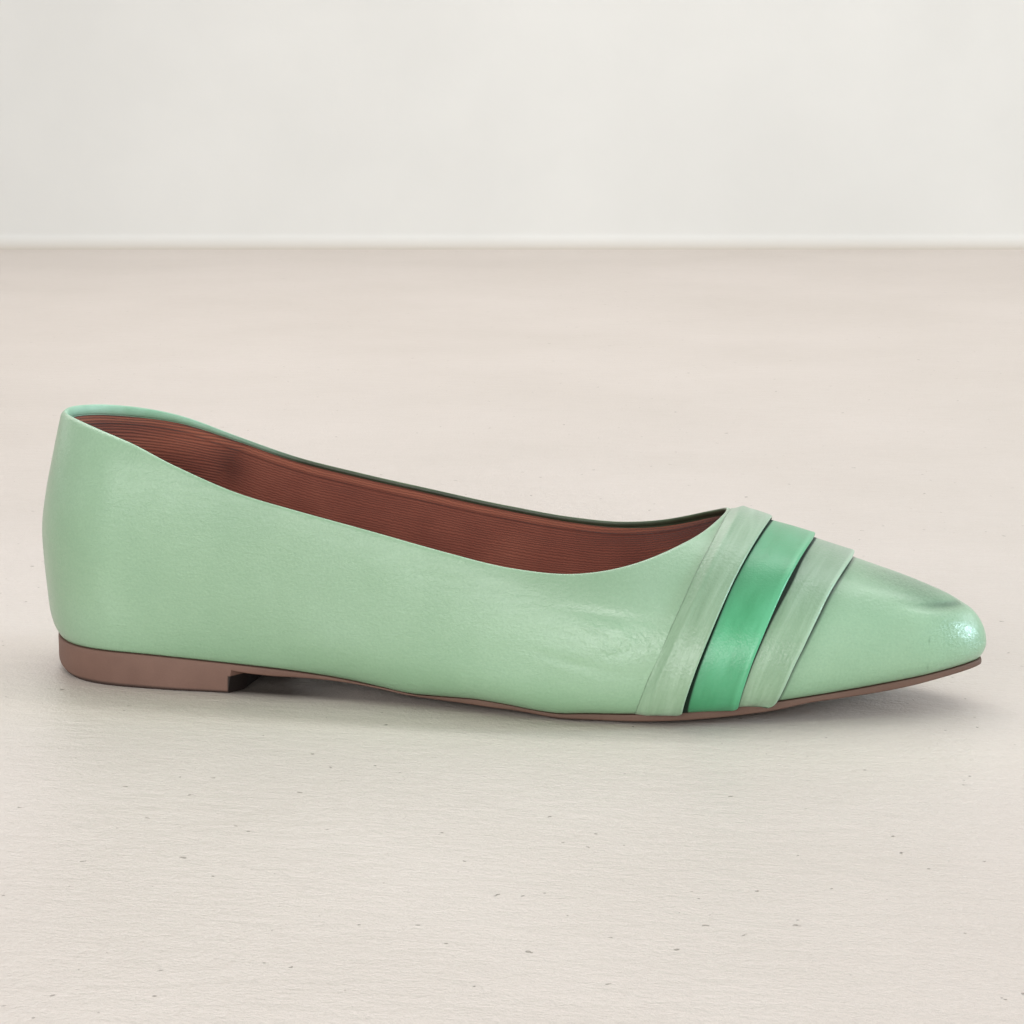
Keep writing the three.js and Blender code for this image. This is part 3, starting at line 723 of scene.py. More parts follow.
def rubber():
    m = Nodes("rubber_taupe")
    mm = m.mapping(m.coords(), (1000, 1000, 1000))
    cloud = m.noise(mm, 0.06, 3, 0.5)
    fine = m.noise(mm, 2.6, 3, 0.65)
    base = m.ramp(cloud, [(0.3, srgb(119, 90, 78)), (0.7, srgb(135, 104, 91))])
    base = m.mix(m.math("MULTIPLY", fine, 0.25), base, srgb(108, 80, 70))
    xyz = m.split(mm)
    # painted shade: near black on the heel's breast and under the waist just ahead of it
    painted_hollow_shade = m.math("MULTIPLY", m.math("DIVIDE", m.math("ADD", xyz[0], 65.3), 0.5, clamp=True),
                    m.math("SUBTRACT", 1.0, m.math("DIVIDE", m.math("ADD", xyz[0], 62.0), 24.0), clamp=True))
    share = m.math("DIVIDE", m.math("ADD", xyz[0], 124.5), 248.0)
    heights = [(q, float(feather_z(q * LENGTH) - GAP - hermite([a for a, _ in EDGE], [v for _, v in EDGE], np.array(q))) / 10.0)
               for q in (0.236, 0.26, 0.28, 0.3, 0.32, 0.34, 0.37, 0.4)]
    limit = m.math("MULTIPLY", m.ramp(share, heights), 10.0)
    painted_hollow_shade = m.math("MULTIPLY", painted_hollow_shade, m.math("DIVIDE", m.math("SUBTRACT", limit, xyz[2]), 0.25, clamp=True))
    base = m.mix(m.math("MULTIPLY", painted_hollow_shade, 0.96), base, srgb(15, 11, 9))
    # painted contact shade along the bottom edge
    painted_contact_shade = m.math("DIVIDE", m.math("SUBTRACT", 1.05, xyz[2]), 0.5, clamp=True)
    base = m.mix(m.math("MULTIPLY", painted_contact_shade, 0.8), base, srgb(34, 25, 21))
    ahead = m.math("DIVIDE", m.math("ADD", xyz[0], 30.0), 40.0, clamp=True)
    base = m.mix(m.math("MULTIPLY", ahead, 0.3), base, srgb(84, 66, 52))
    m.link(base, m.bsdf.inputs["Base Color"])
    m.link(m.math("ADD", 0.55, m.math("MULTIPLY", fine, 0.2)), m.bsdf.inputs["Roughness"])
    m.bsdf.inputs["Specular IOR Level"].default_value = 0.4
    m.link(m.bump(fine, 0.3, 0.0002), m.bsdf.inputs["Normal"])
    return m.mat


MINT, RIM, TEXTILE = leather_upper(), leather_rim(), textile("lining_textile")
PALE_REAR, PALE_FRONT, EMERALD = strap_pale("leather_pale_rear", 3.0), strap_pale("leather_pale_front", 11.0), strap_green()
SOCK, RUBBER, SHADED_UNDERSIDE = sock_material(), rubber(), shaded_band_underside()


# =====================================================================
# Upper: outer leather, rolled rim, lining, margin
# =====================================================================
def section_rows(heel, side, throat, vamp, toe, jump=0.010):
    start = THROAT - 0.045
    r = [HEEL_CAP * (1 - math.cos(i / heel * math.pi / 2)) for i in range(heel)]
    r += [HEEL_CAP + (start - HEEL_CAP) * i / side for i in range(side)]
    r += [THROAT - 0.045 * (1 - i / throat) ** 2 for i in range(throat)]
    k = len(r)
    r += [THROAT]
    first = THROAT + jump
    r += [first + (1 - TOE_CAP - first) * i / vamp for i in range(vamp)]
    r += [1 - TOE_CAP * (1 - math.sin(i / toe * math.pi / 2)) for i in range(toe + 1)]
    return np.array(r), k


def columns(s, g, low, high, top):
    zw, H = belly_of(s, g), height_of(s, g)
    t = np.minimum(top - floor_of(s, g), H)
    a = np.arange(low) / low
    b = np.arange(high + 1) / high
    lo = zw[:, None] * (1 - np.cos(a * np.pi / 2))[None]
    hi = zw[:, None] + (t - zw)[:, None] * np.sin(b * np.pi / 2)[None]
    return np.concatenate([lo, hi], 1)


ROWS, KT = section_rows(22, 120, 22, 66, 26)
NEAR_FAR = (-1, 1)
RIM_PROFILE = [(0.0, -0.9), (-0.01, -0.5), (-0.06, -0.15), (-0.17, 0.12), (-0.34, 0.32), (-0.52, 0.38), (-0.70, 0.30),
               (-0.85, 0.10), (-0.95, -0.15), (-1.0, -0.45), (-1.0, -0.7), (-0.98, -0.86), (-0.93, -0.96), (-0.82, -1.0)]
RIM_OUT = 1.2


def rim_size(a):
    """thickness of the folded edge and how far it runs down inside, by distance from the back"""
    k = smooth(20, 52, np.abs(a))
    d = smooth(18, 58, np.abs(a))
    return 2.2 - 1.1 * k, 1.55 - 1.0 * d + 0.3 * smooth(120, 170, np.abs(a))


def edge_loop():
    """topline as a closed loop, throat to heel on the outer side and back on the inner side"""
    s = ROWS[:KT + 1]
    h = np.minimum(topline_z(s) - floor_of(s), height_of(s, 0.0))
    E = {sd: form(s, h, sd) for sd in NEAR_FAR}
    loop = np.concatenate([E[-1][::-1], E[1][1:-1]])
    T = np.roll(loop, -1, 0) - np.roll(loop, 1, 0)
    T /= np.linalg.norm(T, axis=1, keepdims=True)
    # outward normal of the form along the edge
    eps = 0.6
    inner = {sd: form(s, np.maximum(h - 1.0, 0), sd, -eps) for sd in NEAR_FAR}
    outer = {sd: form(s, np.maximum(h - 1.0, 0), sd, eps) for sd in NEAR_FAR}
    d = {sd: outer[sd] - inner[sd] for sd in NEAR_FAR}
    N = np.concatenate([d[-1][::-1], d[1][1:-1]])
    # widths grow level, so give the direction the form's slope by taking out the part along the surface
    below = {sd: form(s, np.maximum(h - 2.0, 0), sd) for sd in NEAR_FAR}
    D = loop - np.concatenate([below[-1][::-1], below[1][1:-1]])
    N2 = np.cross(D, T)
    ok = np.linalg.norm(N2, axis=1) > 0.05
    N2 = np.where(np.sum(N2 * N, 1, keepdims=True) < 0, -N2, N2)
    N = N / np.linalg.norm(N, axis=1, keepdims=True)
    N2 = N2 / np.maximum(np.linalg.norm(N2, axis=1, keepdims=True), 1e-9)
    # near the throat the surface is the ridge, whose normal lies in the middle plane
    ridge_s = np.array([THROAT - 0.004, THROAT + 0.004])
    rp = form(ridge_s, height_of(ridge_s, 0.0), -1)
    t = rp[1] - rp[0]
    nr = np.array([-t[2], 0, t[0]]) / np.hypot(t[0], t[2])
    n = len(s)
    dist = np.abs(loop[:, 1])
    w = (smooth(14.0, 2.0, dist) * (loop[:, 0] > 100))[:, None]
    N = np.where(ok[:, None], N2, N)
    N = N * (1 - w) + nr[None] * w
    for _ in range(6):
        N = (np.roll(N, 1, 0) + 2 * N + np.roll(N, -1, 0)) / 4
    N /= np.linalg.norm(N, axis=1, keepdims=True)
    N -= np.sum(N * T, 1, keepdims=True) * T
    N /= np.linalg.norm(N, axis=1, keepdims=True)
    U = np.cross(T, N)
    return loop, T, N, U


LOOP, LOOP_T, LOOP_N, LOOP_U = edge_loop()
_n = KT + 1
INDEX = {-1: np.arange(_n)[::-1], 1: np.array([_n - 1] + list(range(_n, 2 * _n - 2)) + [0])}


def along_loop():
    """signed distance along the topline from the back of the heel"""
    seg = np.linalg.norm(np.diff(LOOP, axis=0), axis=1)
    a = np.concatenate([[0], np.cumsum(seg)])
    return a - a[_n - 1]


LOOP_A = along_loop()


def topline_coords(pts, chunk=4000):
    """(distance along the topline, distance from it) of points in mm"""
    out = np.empty((len(pts), 2))
    A, B = LOOP[:-1], LOOP[1:]
    AB = B - A
    L2 = np.sum(AB * AB, 1)
    for k in range(0, len(pts), chunk):
        p = pts[k:k + chunk, None, :]
        t = np.clip(np.sum((p - A[None]) * AB[None], -1) / L2[None], 0, 1)
        q = A[None] + t[..., None] * AB[None]
        d = np.linalg.norm(p - q, axis=-1)
        j = np.argmin(d, 1)
        r = np.arange(len(j))
        out[k:k + chunk, 0] = LOOP_A[j] + t[r, j] * np.sqrt(L2[j])
        out[k:k + chunk, 1] = d[r, j]
    return out


def shift_top(P, i_rows, direction, amount, reach):
    """moves a sheet's top edge along the surface, fading out over reach mm below it"""
    seg = np.linalg.norm(np.diff(P, axis=1), axis=2)
    from_top = np.concatenate([np.cumsum(seg[:, ::-1], 1)[:, ::-1], np.zeros((len(P), 1))], 1)
    w = (1 - smooth(0, reach, from_top[:i_rows]))
    P[:i_rows] += w[..., None] * (direction * amount)[:, None, :]
    return P


def build_upper():
    mesh = Mesh()
    s = ROWS
    top = np.where(np.arange(len(s)) <= KT, topline_z(s), 1e3)
    ids = {}
    for side in NEAR_FAR:
        U = LOOP_U[INDEX[side]]
        N = LOOP_N[INDEX[side]]
        E = LOOP[INDEX[side]]
        h = columns(s, 0.0, 12, 46, top)
        outer = form(s[:, None], h, side)
        outer = shift_top(outer, KT + 1, U, -RIM_OUT, 16.0)
        hi = columns(s, np.float64(-WALL), 8, 34, top)
        thick, deep = (v[:, None] for v in rim_size(LOOP_A[INDEX[side]]))
        inner = form(s[:, None], hi, side, -WALL)
        tuck_in = 0.6 * smooth(140, 176, np.abs(LOOP_A[INDEX[side]]))[:, None]
        place = E - N * (thick * 0.9 + tuck_in) - U * (deep + 0.25)
        inner = shift_top(inner, KT + 1, place - inner[:KT + 1, -1], 1.0, 24.0)
        rim = [outer[:KT + 1, -1]]
        for a, b in RIM_PROFILE:
            rim.append(E + N * a * thick + U * np.where(b > 0, b * thick, b * (deep if a < -0.5 else 1.0)))
        rim.append(inner[:KT + 1, -1])
        rim = np.stack(rim, 1)
        low, high = [outer[:, 0]], [inner[:, 0]]
        for g in (-WALL, -MARGIN):
            x, y = plan_x(s, g), plan_y(s, side, g)
            low.append(np.stack([x, y, feather_z(x)], -1))
        x, y = plan_x(s, -MARGIN), plan_y(s, side, -MARGIN)
        high.append(np.stack([x, y, feather_z(x) + WALL], -1))
        low, high = np.stack(low, 1), np.stack(high, 1)
        f = side > 0
        mesh.grid(mesh.add(outer), f, 0)
        mesh.grid(mesh.add(inner), not f, 2)
        rim_ids = mesh.add(rim)
        mesh.grid(rim_ids[:, :6], f, 0)
        mesh.grid(rim_ids[:, 5:], f, 1)
        mesh.grid(mesh.add(low), not f, 0)
        mesh.grid(mesh.add(high), f, 2)
        mesh.grid(mesh.add(np.stack([low[:, -1], high[:, -1]], 1)), not f, 0)
    return mesh


def upper_shape(p, n):
    """troughs and ridges, in mm along the normal"""
    x, y, z = p[:, 0], p[:, 1], p[:, 2]
    d = np.zeros(len(p))
    outer_side = smooth(0, -12, y)
    # shallow creases fanning from under the rear band into the ball, outer side
    for cx, cz, lx, lz, ang, amp in ((160, 27.5, 11, 1.1, -8, -0.22), (157, 24.6, 13, 1.0, -4, 0.12), (155, 15.5, 10, 1.0, -12, -0.22),
                                     (163, 19.0, 7, 0.9, 20, -0.12), (148, 17.0, 7, 0.9, -16, -0.12), (166, 24.0, 5, 1.0, -30, -0.14)):
        a = math.radians(ang)
        u = (x - cx) * math.cos(a) + (z - cz) * math.sin(a)
        v = -(x - cx) * math.sin(a) + (z - cz) * math.cos(a)
        d += amp * np.exp(-(u / lx) ** 2 - (v / lz) ** 2) * outer_side
    # the ball's fullness, the soft hollow behind it, and slow waves along the quarter
    d += 0.35 * bell(x, 158, 16) * bell(z, 20, 9) * outer_side
    d -= 0.25 * bell(x, 118, 22) * bell(z, 30, 12) * outer_side
    d += 0.10 * np.sin(x / 9.0 + z / 14.0) * bell(x, 90, 55) * bell(z, 32, 16)
    # toe: faint hollows beside the ridge
    bend = 26.9 - 0.09 * (x - 230.9)
    d -= 0.5 * bell(x, 237.5, 7.5) * bell(z, bend, 0.95) * smooth(5, 2, y)
    d += 0.18 * bell(x, 236, 9) * bell(z, bend - 2.6, 1.7) * smooth(5, 0, y)
    d -= 0.2 * bell(x, 232, 9) * bell(z, 28.5, 2.0) * smooth(0, 12, y)
    edge = smooth(0, 6, z - feather_z(x))
    return n * (d * edge)[:, None]


def displace_upper(pts, n):
    uv = topline_coords(pts)
    out = upper_shape(pts, n)
    fade = smooth(2.0, 7.0, uv[:, 1])
    out *= fade[:, None]
    return out


def upper_uv(pts, remap):
    return topline_coords(pts)


def band_bow(v):
    """how far the bands' edges bend forward from a plane, over the share of the way up"""
    return -0.35 + 1.25 * smooth(0.52, 1.0, v) + 0.85 * smooth(0.28, 0.0, v)


# how far an edge runs ahead of that bow, by the share of the way up (outer side)
PULL_SHARE = [0.0, 0.15, 0.3, 0.47, 0.7, 0.9, 1.0]
PULL_FRONT = [-3.4, -2.1, -1.1, -0.5, -0.1, 0.0, 0.0]
PULL_REAR = [0.3, 1.0, 1.6, 1.7, 1.3, 0.4, 0.0]


def band_uv(pts):
    """position ahead of the front band's edge in mm, height over the feather line in mm"""
    x, y, z = pts[:, 0], pts[:, 1], pts[:, 2]
    s = np.clip(x / LENGTH, 0, 1)
    h = z - feather_z(x)
    zw, H = belly_of(s, 0.0), height_of(s, 0.0)
    low = np.arccos(np.clip(1 - h / zw, 0, 1)) / (np.pi / 2) * 0.2
    high = 0.2 + 0.8 * np.arcsin(np.clip((h - zw) / (H - zw), 0, 1)) / (np.pi / 2)
    v = np.where(h < zw, low, high)
    c = x - 0.37 * (z - 40) - 0.02 * np.minimum(np.abs(y), 40) * np.sign(y) - band_bow(v)
    c -= np.interp(v, PULL_SHARE, PULL_FRONT) * smooth(0, -6, y)
    return np.stack([c - 214.9, h], -1)


upper = make_object("upper_leather", build_upper(), [MINT, RIM, TEXTILE], node="upper",
                    displace=displace_upper, uv=upper_uv, uv2=band_uv)


# =====================================================================
# Bands across the vamp: shingled, each with a folded front edge
# =====================================================================
def band_field(n_s=420, n_v=90):
    s = np.linspace(0.58, 0.965, n_s)
    v = np.linspace(0, 1, n_v)
    field = {}
    for g in (0.0, 2.0):
        zw, H = belly_of(s, g), height_of(s, g)
        lowv = 0.2
        h = np.where(v[None] < lowv, zw[:, None] * (1 - np.cos(np.clip(v[None] / lowv, 0, 1) * np.pi / 2)),
                     zw[:, None] + (H - zw)[:, None] * np.sin(np.clip((v[None] - lowv) / (1 - lowv), 0, 1) * np.pi / 2))
        field[g] = {sd: form(s[:, None], h, sd, g) for sd in NEAR_FAR}
    return s, v, field


FS, FV, FIELD = band_field()


def band_points(c, hgt, lean=0.37, skew=0.02):
    """c, hgt: arrays (n_along, n_across) of the plane coordinate and the height above the form; the
    first index runs from the outer feather line over the ridge to the inner one"""
    nv = len(FV)
    out = np.empty(c.shape + (3,))
    for k in range(2 * nv - 1):
        sd, j = (-1, k) if k < nv else (1, 2 * nv - 2 - k)
        P0, P2 = FIELD[0.0][sd][:, j], FIELD[2.0][sd][:, j]
        Pm = (P0 + P2) / 2
        v = FV[j]
        C = Pm[:, 0] - lean * (Pm[:, 2] - 40) - skew * np.minimum(np.abs(Pm[:, 1]), 40) * np.sign(Pm[:, 1]) - band_bow(v)
        f = np.interp(c[k], C, np.arange(len(C)))
        i = np.clip(f.astype(int), 0, len(C) - 2)
        t = (f - i)[:, None]
        A = P0[i] * (1 - t) + P0[i + 1] * t
        B = P2[i] * (1 - t) + P2[i + 1] * t
        out[k] = A + (B - A) * (hgt[k] / 2.0)[:, None]
    return out


N_ALONG = 2 * len(FV) - 1
ALONG = np.linspace(-1, 1, N_ALONG)  # -1 outer feather, 0 ridge, 1 inner feather


def build_band(rear, front, tuck, h_rear, h_front, thick, rear_soft=False, lift_at=None, crown=0.12, drop=0.22, corner=1.2,
               ridge_flat=0.45, hang=0.0, pull_rear=None, pull_front=None):
    """rear, front: plane coordinates of the visible edges (mm); tuck: how far the band runs on under the one behind it"""
    W = front - rear
    r = 0.85
    w = np.concatenate([np.linspace(-tuck, 0, 4)[:-1] if tuck > 0 else [], np.linspace(0, W - r - 0.15, 30)])
    flat = ridge_flat * np.exp(-(ALONG / 0.2) ** 2)
    front_h = h_front * (1 - flat)
    if lift_at is not None:
        centre, width, amount = lift_at
        front_h = front_h + amount * bell(ALONG, centre, width)
    rear_h = h_rear * (1 - 0.3 * flat)
    cols_w, cols_h = [], []
    for q in w:
        t = q / W
        tc = min(max(t, 0.0), 1.0)
        base = rear_h + (front_h - rear_h) * tc ** 1.6 + crown * math.sin(math.pi * tc)
        if q < 0:
            base = rear_h * (1 + q / tuck * 0.35)
        if rear_soft:
            base = base * (0.07 + 0.93 * float(smooth(-0.03, 0.24, t))) + 0.22 * float(bell(t, 0.24, 0.09))
        cols_w.append(np.full(N_ALONG, q))
        cols_h.append(base)
    half = thick / 2
    for a in np.radians(np.arange(75, -100, -18)):
        cols_w.append(np.full(N_ALONG, W - r + r * math.cos(a)))
        cols_h.append(front_h - half + half * math.sin(a))
    n_top = len(w) + 5
    for q in np.linspace(W - 1.5, -tuck if tuck > 0 else 0.25, 12):
        t = min(max(q / W, 0.0), 1.0)
        cols_w.append(np.full(N_ALONG, q))
        cols_h.append(np.maximum(0.05, (front_h - thick) * t ** 1.7))
    ws, hs = np.stack(cols_w, 1), np.stack(cols_h, 1)
    n = ws.shape[1]
    # front corners rounded at both ends, and the unevenness of hand-folded leather
    end = np.clip((np.abs(ALONG) - 0.94) / 0.06, 0, 1)[:, None]
    share = np.clip(ws / W, 0, 1)
    ws = ws - corner * (1 - np.sqrt(np.clip(1 - end ** 2, 0, 1))) * share ** 3
    c = rear + ws + 0.14 * np.sin(ALONG[:, None] * 7.3 + rear) * smooth(0.2, 1.0, share)
    v_of = (1 - np.abs(ALONG))
    for table, part in ((pull_rear, 1 - share), (pull_front, share)):
        if table is not None:
            c = c + (np.interp(v_of, PULL_SHARE, table) * smooth(0.02, -0.12, ALONG))[:, None] * part
    P = band_points(c, hs)
    P[:, :, 2] -= end ** 1.5 * (drop + hang * smooth(0.35, 0.95, share))
    P[:, :, 1] -= np.sign(ALONG)[:, None] * end * 0.12
    mesh = Mesh()
    ring = np.concatenate([P, P[:, :1]], 1)
    ids = mesh.add(ring)
    mesh.grid(ids[:, :n_top + 1])
    # the lower half of the rolled front edge and the underside take the dark underside material, painted shade
    mesh.grid(ids[:, n_top:], mat=1)
    for k, flip in ((0, True), (N_ALONG - 1, False)):
        m = n // 2
        line = P[k]
        one, two = line[:m], line[n - m:][::-1]
        pair = np.stack([one, two], 1)
        mesh.grid(mesh.add(pair), not flip)
        if n % 2:
            tri = mesh.add(np.stack([line[m - 1], line[m], line[n - m]]))
            q = (tri[0], tri[1], tri[2], tri[2]) if not flip else (tri[0], tri[2], tri[1], tri[1])
            mesh.faces.append((np.array([q]), 0))
    arc = np.concatenate([[0], np.cumsum(np.linalg.norm(np.diff(P[:, 0], axis=0), axis=1))])
    uu = np.concatenate([ws, ws[:, :1]], 1)
    vv = np.repeat(arc[:, None], n + 1, 1)
    flat_uv = np.stack([uu, vv], -1).reshape(-1, 2)

    def uv(pts, remap):
        out = np.zeros((len(pts), 2))
        out[remap[:len(flat_uv)]] = flat_uv
        return out
    return mesh, uv


BAND_EDGES = [179.7, 190.7, 203.2, 214.9]
mesh, uv = build_band(BAND_EDGES[2], BAND_EDGES[3], 3.0, 0.7, 1.75, 0.95, hang=0.9, corner=1.6, pull_front=PULL_FRONT)
strap_front = make_object("strap_front_leather", mesh, [PALE_FRONT, SHADED_UNDERSIDE], node="strap_front", uv=uv)
mesh, uv = build_band(BAND_EDGES[1], BAND_EDGES[2], 3.0, 0.7, 2.15, 0.8, lift_at=(-0.33, 0.2, 0.8), crown=0.2, hang=0.35)
strap_middle = make_object("strap_middle_leather", mesh, [EMERALD, SHADED_UNDERSIDE], node="strap_middle", uv=uv)
mesh, uv = build_band(BAND_EDGES[0], BAND_EDGES[1], 0.0, 1.1, 2.15, 0.8, rear_soft=True, lift_at=(-0.74, 0.22, 0.85), crown=0.34, hang=0.2,
                      pull_rear=PULL_REAR)
strap_rear = make_object("strap_rear_leather", mesh, [PALE_REAR, SHADED_UNDERSIDE], node="strap_rear", uv=uv)


# =====================================================================
# Outsole with heel block, and insole sock
# =====================================================================


def build_outsole():
    mesh = Mesh()
    b = float(share_at(BREAST_X))
    f = float(share_at(BREAST_X + BREAST_RUN))
    s = [HEEL_CAP * (1 - math.cos(i / 26 * math.pi / 2)) for i in range(26)]
    s += list(np.linspace(HEEL_CAP, b - 0.003, 22))
    s += [b - 0.0022, b - 0.0012, b - 0.0004, b]
    s += [f, f + 0.0006, f + 0.0014, f + 0.0030]
    s += list(np.linspace(f + 0.006, 1 - TOE_CAP, 130))
    s += [1 - TOE_CAP * (1 - math.sin(i / 24 * math.pi / 2)) for i in range(1, 25)]
    s = np.array(s)
    block = s <= b + 1e-9
    top = feather_z(plan_x(s, SOLE_EDGE)) - GAP
    tread = np.where(block, 0.0, np.maximum(0, tab("tread", s)))
    edge = hermite([a for a, _ in EDGE], [v for _, v in EDGE], s)
    # block: one round along its lower edge, large at the back; ahead of it a thin edge with a bevel running under
    r_back = 0.6 + 2.7 * (1 - smooth(0.0, 0.075, s))
    low = np.where(block, 0.0, np.maximum(top - edge, tread + 0.05))
    r_low = np.where(block, r_back, 0.55)
    near_breast = np.where(block, np.clip((b - s) * LENGTH / 0.5, 0, 1), 1.0)
    round_in = np.where(block, 0.0 * (1 - np.sqrt(np.clip(1 - (1 - near_breast) ** 2, 0, 1))), 0)
    rows = {}
    for side in NEAR_FAR:
        half = tab("soleOut" if side < 0 else "soleIn", s)
        flare = np.where(block, 1.3 * smooth(0.03, 0.16, s) - 0.7 * smooth(0.17, 0.24, s), 0.0) * (1.0 if side < 0 else 0.6)

        def at(g, z, flare_share=0.0):
            x = s * LENGTH + g * (2 * s - 1) + BACK[0][1] * np.clip(1 - s / 0.3, 0, 1) ** 2 - NOSE_UNDER * np.clip((s - 0.8) / 0.2, 0, 1) ** 2
            x = x + np.where(block, smooth(0.2, 0.24, s) * (0.55 - (1 - np.clip(z / 6.5, 0, 1)) * 0.75), 0)
            return np.stack([x, side * (half + g + flare * flare_share - round_in) * cap(s), z], -1)
        line = [at(SOLE_EDGE - 0.45, top), at(SOLE_EDGE - 0.12, top - 0.06), at(SOLE_EDGE, top - 0.32)]
        middle = np.where(block, top - 2.8, low + r_low)
        for k in (0.35, 0.7):
            z = (top - 0.32) * (1 - k) + middle * k
            line.append(at(SOLE_EDGE, z, (top - z) / np.maximum(top, 1.0)))
        for q in np.linspace(0, np.pi / 2, 8):
            line.append(at(SOLE_EDGE - r_low * (1 - np.cos(q)), low + r_low * (1 - np.sin(q)), 1.0))
        # bevel from the thin edge down to the tread
        for k in (0.3, 0.65, 1.0):
            line.append(at(SOLE_EDGE - r_low - 4.5 * k, low * (1 - k ** 0.8) + tread * k ** 0.8, 1.0))
        rows[side] = np.stack(line, 1)
    nb = rows[-1].shape[1]
    for side in NEAR_FAR:
        mesh.grid(mesh.add(rows[side]), side < 0)
    t = np.linspace(0, 1, 15)
    for col, flip in ((0, False), (nb - 1, True)):
        a, c = rows[-1][:, col], rows[1][:, col]
        sheet = a[:, None] * (1 - t)[None, :, None] + c[:, None] * t[None, :, None]
        mesh.grid(mesh.add(sheet), flip)
    return mesh


outsole = make_object("outsole_rubber", build_outsole(), [RUBBER], node="outsole", smooth_angle=38)


def build_insole():
    mesh = Mesh()
    s, _ = section_rows(18, 60, 6, 40, 16)
    g0 = -(WALL + 0.35)
    rows = {}
    for side in NEAR_FAR:
        line = []
        for inset, up in ((1.0, 0.0), (0.3, 0.1), (0.0, 0.6), (0.0, 2.1), (0.15, 2.7), (0.5, 3.05), (1.1, 3.25), (2.2, 3.4)):
            g = g0 - inset
            x = plan_x(s, g)
            line.append(np.stack([x, plan_y(s, side, g), feather_z(x) + WALL + GAP + up], -1))
        rows[side] = np.stack(line, 1)
        mesh.grid(mesh.add(rows[side]), side > 0)
    t = np.linspace(0, 1, 25)
    for col, flip in ((0, True), (rows[-1].shape[1] - 1, False)):
        a, c = rows[-1][:, col], rows[1][:, col]
        sheet = a[:, None] * (1 - t)[None, :, None] + c[:, None] * t[None, :, None]
        if not flip:
            width = np.abs(c[:, 1] - a[:, 1])[:, None]
            cup = np.sin(np.pi * t)[None] * 0.5 * smooth(8, 30, width)
            sheet[..., 2] += cup * (0.6 - smooth(0.3, 0.1, s)[:, None] * 1.4)
        mesh.grid(mesh.add(sheet), flip)
    return mesh


insole = make_object("insole_sock", build_insole(), [SOCK], node="insole")


# =====================================================================
# Floor, light, camera
# =====================================================================
def stage_material(name, a, b, rough, gloss, pits):
    m = Nodes(name)
    mm = m.mapping(m.coords(), (1000, 1000, 1000))
    cloud = m.noise(mm, 0.006, 4, 0.55)
    fine = m.noise(m.mapping(mm, (0.09, 0.20, 0.2)), 1.0, 5, 0.68) if pits else m.noise(mm, 0.10, 4, 0.65)
    grit = m.noise(mm, 0.9, 3, 0.6)
    base = m.ramp(cloud, [(0.35, a), (0.65, b)])
    if not pits:
        # painted shade where the wall meets the floor
        up = m.math("DIVIDE", m.split(mm)[2], 9.0, clamp=True)
        base = m.mix(m.math("SUBTRACT", 1.0, up), base, srgb(198, 189, 178))
    if pits:
        place = m.split(mm)
        share = m.math("DIVIDE", m.math("ADD", place[0], 124.5), 248.0)
        half = m.ramp(share, [(q, (float(tab("soleOut", q) * cap(q)) - 1.0) / 50.0) for q in (0.2, 0.26, 0.34, 0.42, 0.5, 0.6, 0.7, 0.8, 0.9, 0.97)])
        inside = m.math("ADD", place[1], m.math("MULTIPLY", half, 50.0))
        shade = m.math("MULTIPLY", m.math("DIVIDE", m.math("ADD", inside, 2.5), 5.0, clamp=True),
                       m.math("SUBTRACT", 1.0, m.math("DIVIDE", inside, 55.0), clamp=True))
        shade = m.math("MULTIPLY", shade, m.math("DIVIDE", m.math("SUBTRACT", 108.0, place[0]), 60.0, clamp=True))
        shade = m.math("MULTIPLY", shade, m.math("DIVIDE", m.math("ADD", place[0], 66.0), 2.0, clamp=True))
        near = m.math("DIVIDE", m.math("SUBTRACT", -34.0, place[0]), 14.0, clamp=True)
        shade = m.math("MULTIPLY", shade, m.math("ADD", 0.58, m.math("MULTIPLY", near, 0.40)))
        base = m.mix(shade, base, srgb(52, 45, 39))
        # painted light on the floor next to the shoe, against the soft shade there
        painted_light_beside = m.math("MULTIPLY", m.gauss(place[1], -46.0, 26.0), m.gauss(place[0], 0.0, 125.0))
        base = m.mix(m.math("MULTIPLY", m.math("MULTIPLY", painted_light_beside, m.math("SUBTRACT", 1.0, shade)), 0.82), base, srgb(238, 228, 216))
        # painted shade on the floor further back
        painted_shade_away = m.math("DIVIDE", m.math("SUBTRACT", place[1], 60.0), 420.0, clamp=True)
        base = m.mix(m.math("MULTIPLY", painted_shade_away, 0.22), base, srgb(182, 170, 160))
        dots = m.noise(mm, 0.30, 2, 0.5)
        dots = m.math("MULTIPLY", m.math("SUBTRACT", dots, 0.728), 40.0, clamp=True)
        base = m.mix(m.math("MULTIPLY", dots, 0.7), base, srgb(120, 108, 96))
        base = m.mix(m.math("MULTIPLY", fine, 0.10), base, srgb(176, 168, 158))
    m.link(base, m.bsdf.inputs["Base Color"])
    m.link(m.math("ADD", rough, m.math("MULTIPLY", fine, 0.12)), m.bsdf.inputs["Roughness"])
    m.bsdf.inputs["Specular IOR Level"].default_value = gloss
    height = m.math("ADD", m.math("MULTIPLY", fine, 0.8), m.math("MULTIPLY", grit, 0.35))
    if pits:
        base = m.mix(m.math("MULTIPLY", m.ramp(grit, [(0.4, 0.0), (0.7, 1.0)]), 0.10), base, srgb(168, 156, 146))
        m.link(base, m.bsdf.inputs["Base Color"])
    if pits:
        height = m.math("SUBTRACT", height, m.math("MULTIPLY", dots, 1.5))
    m.link(m.bump(height, 0.6 if pits else 0.1, 0.0012), m.bsdf.inputs["Normal"])
    return m.mat


CAM = Vector((0.141571, -0.653453, 0.166975))
YAW, PITCH, LENS = math.radians(-11.97964), math.radians(10.38199), 93.2315


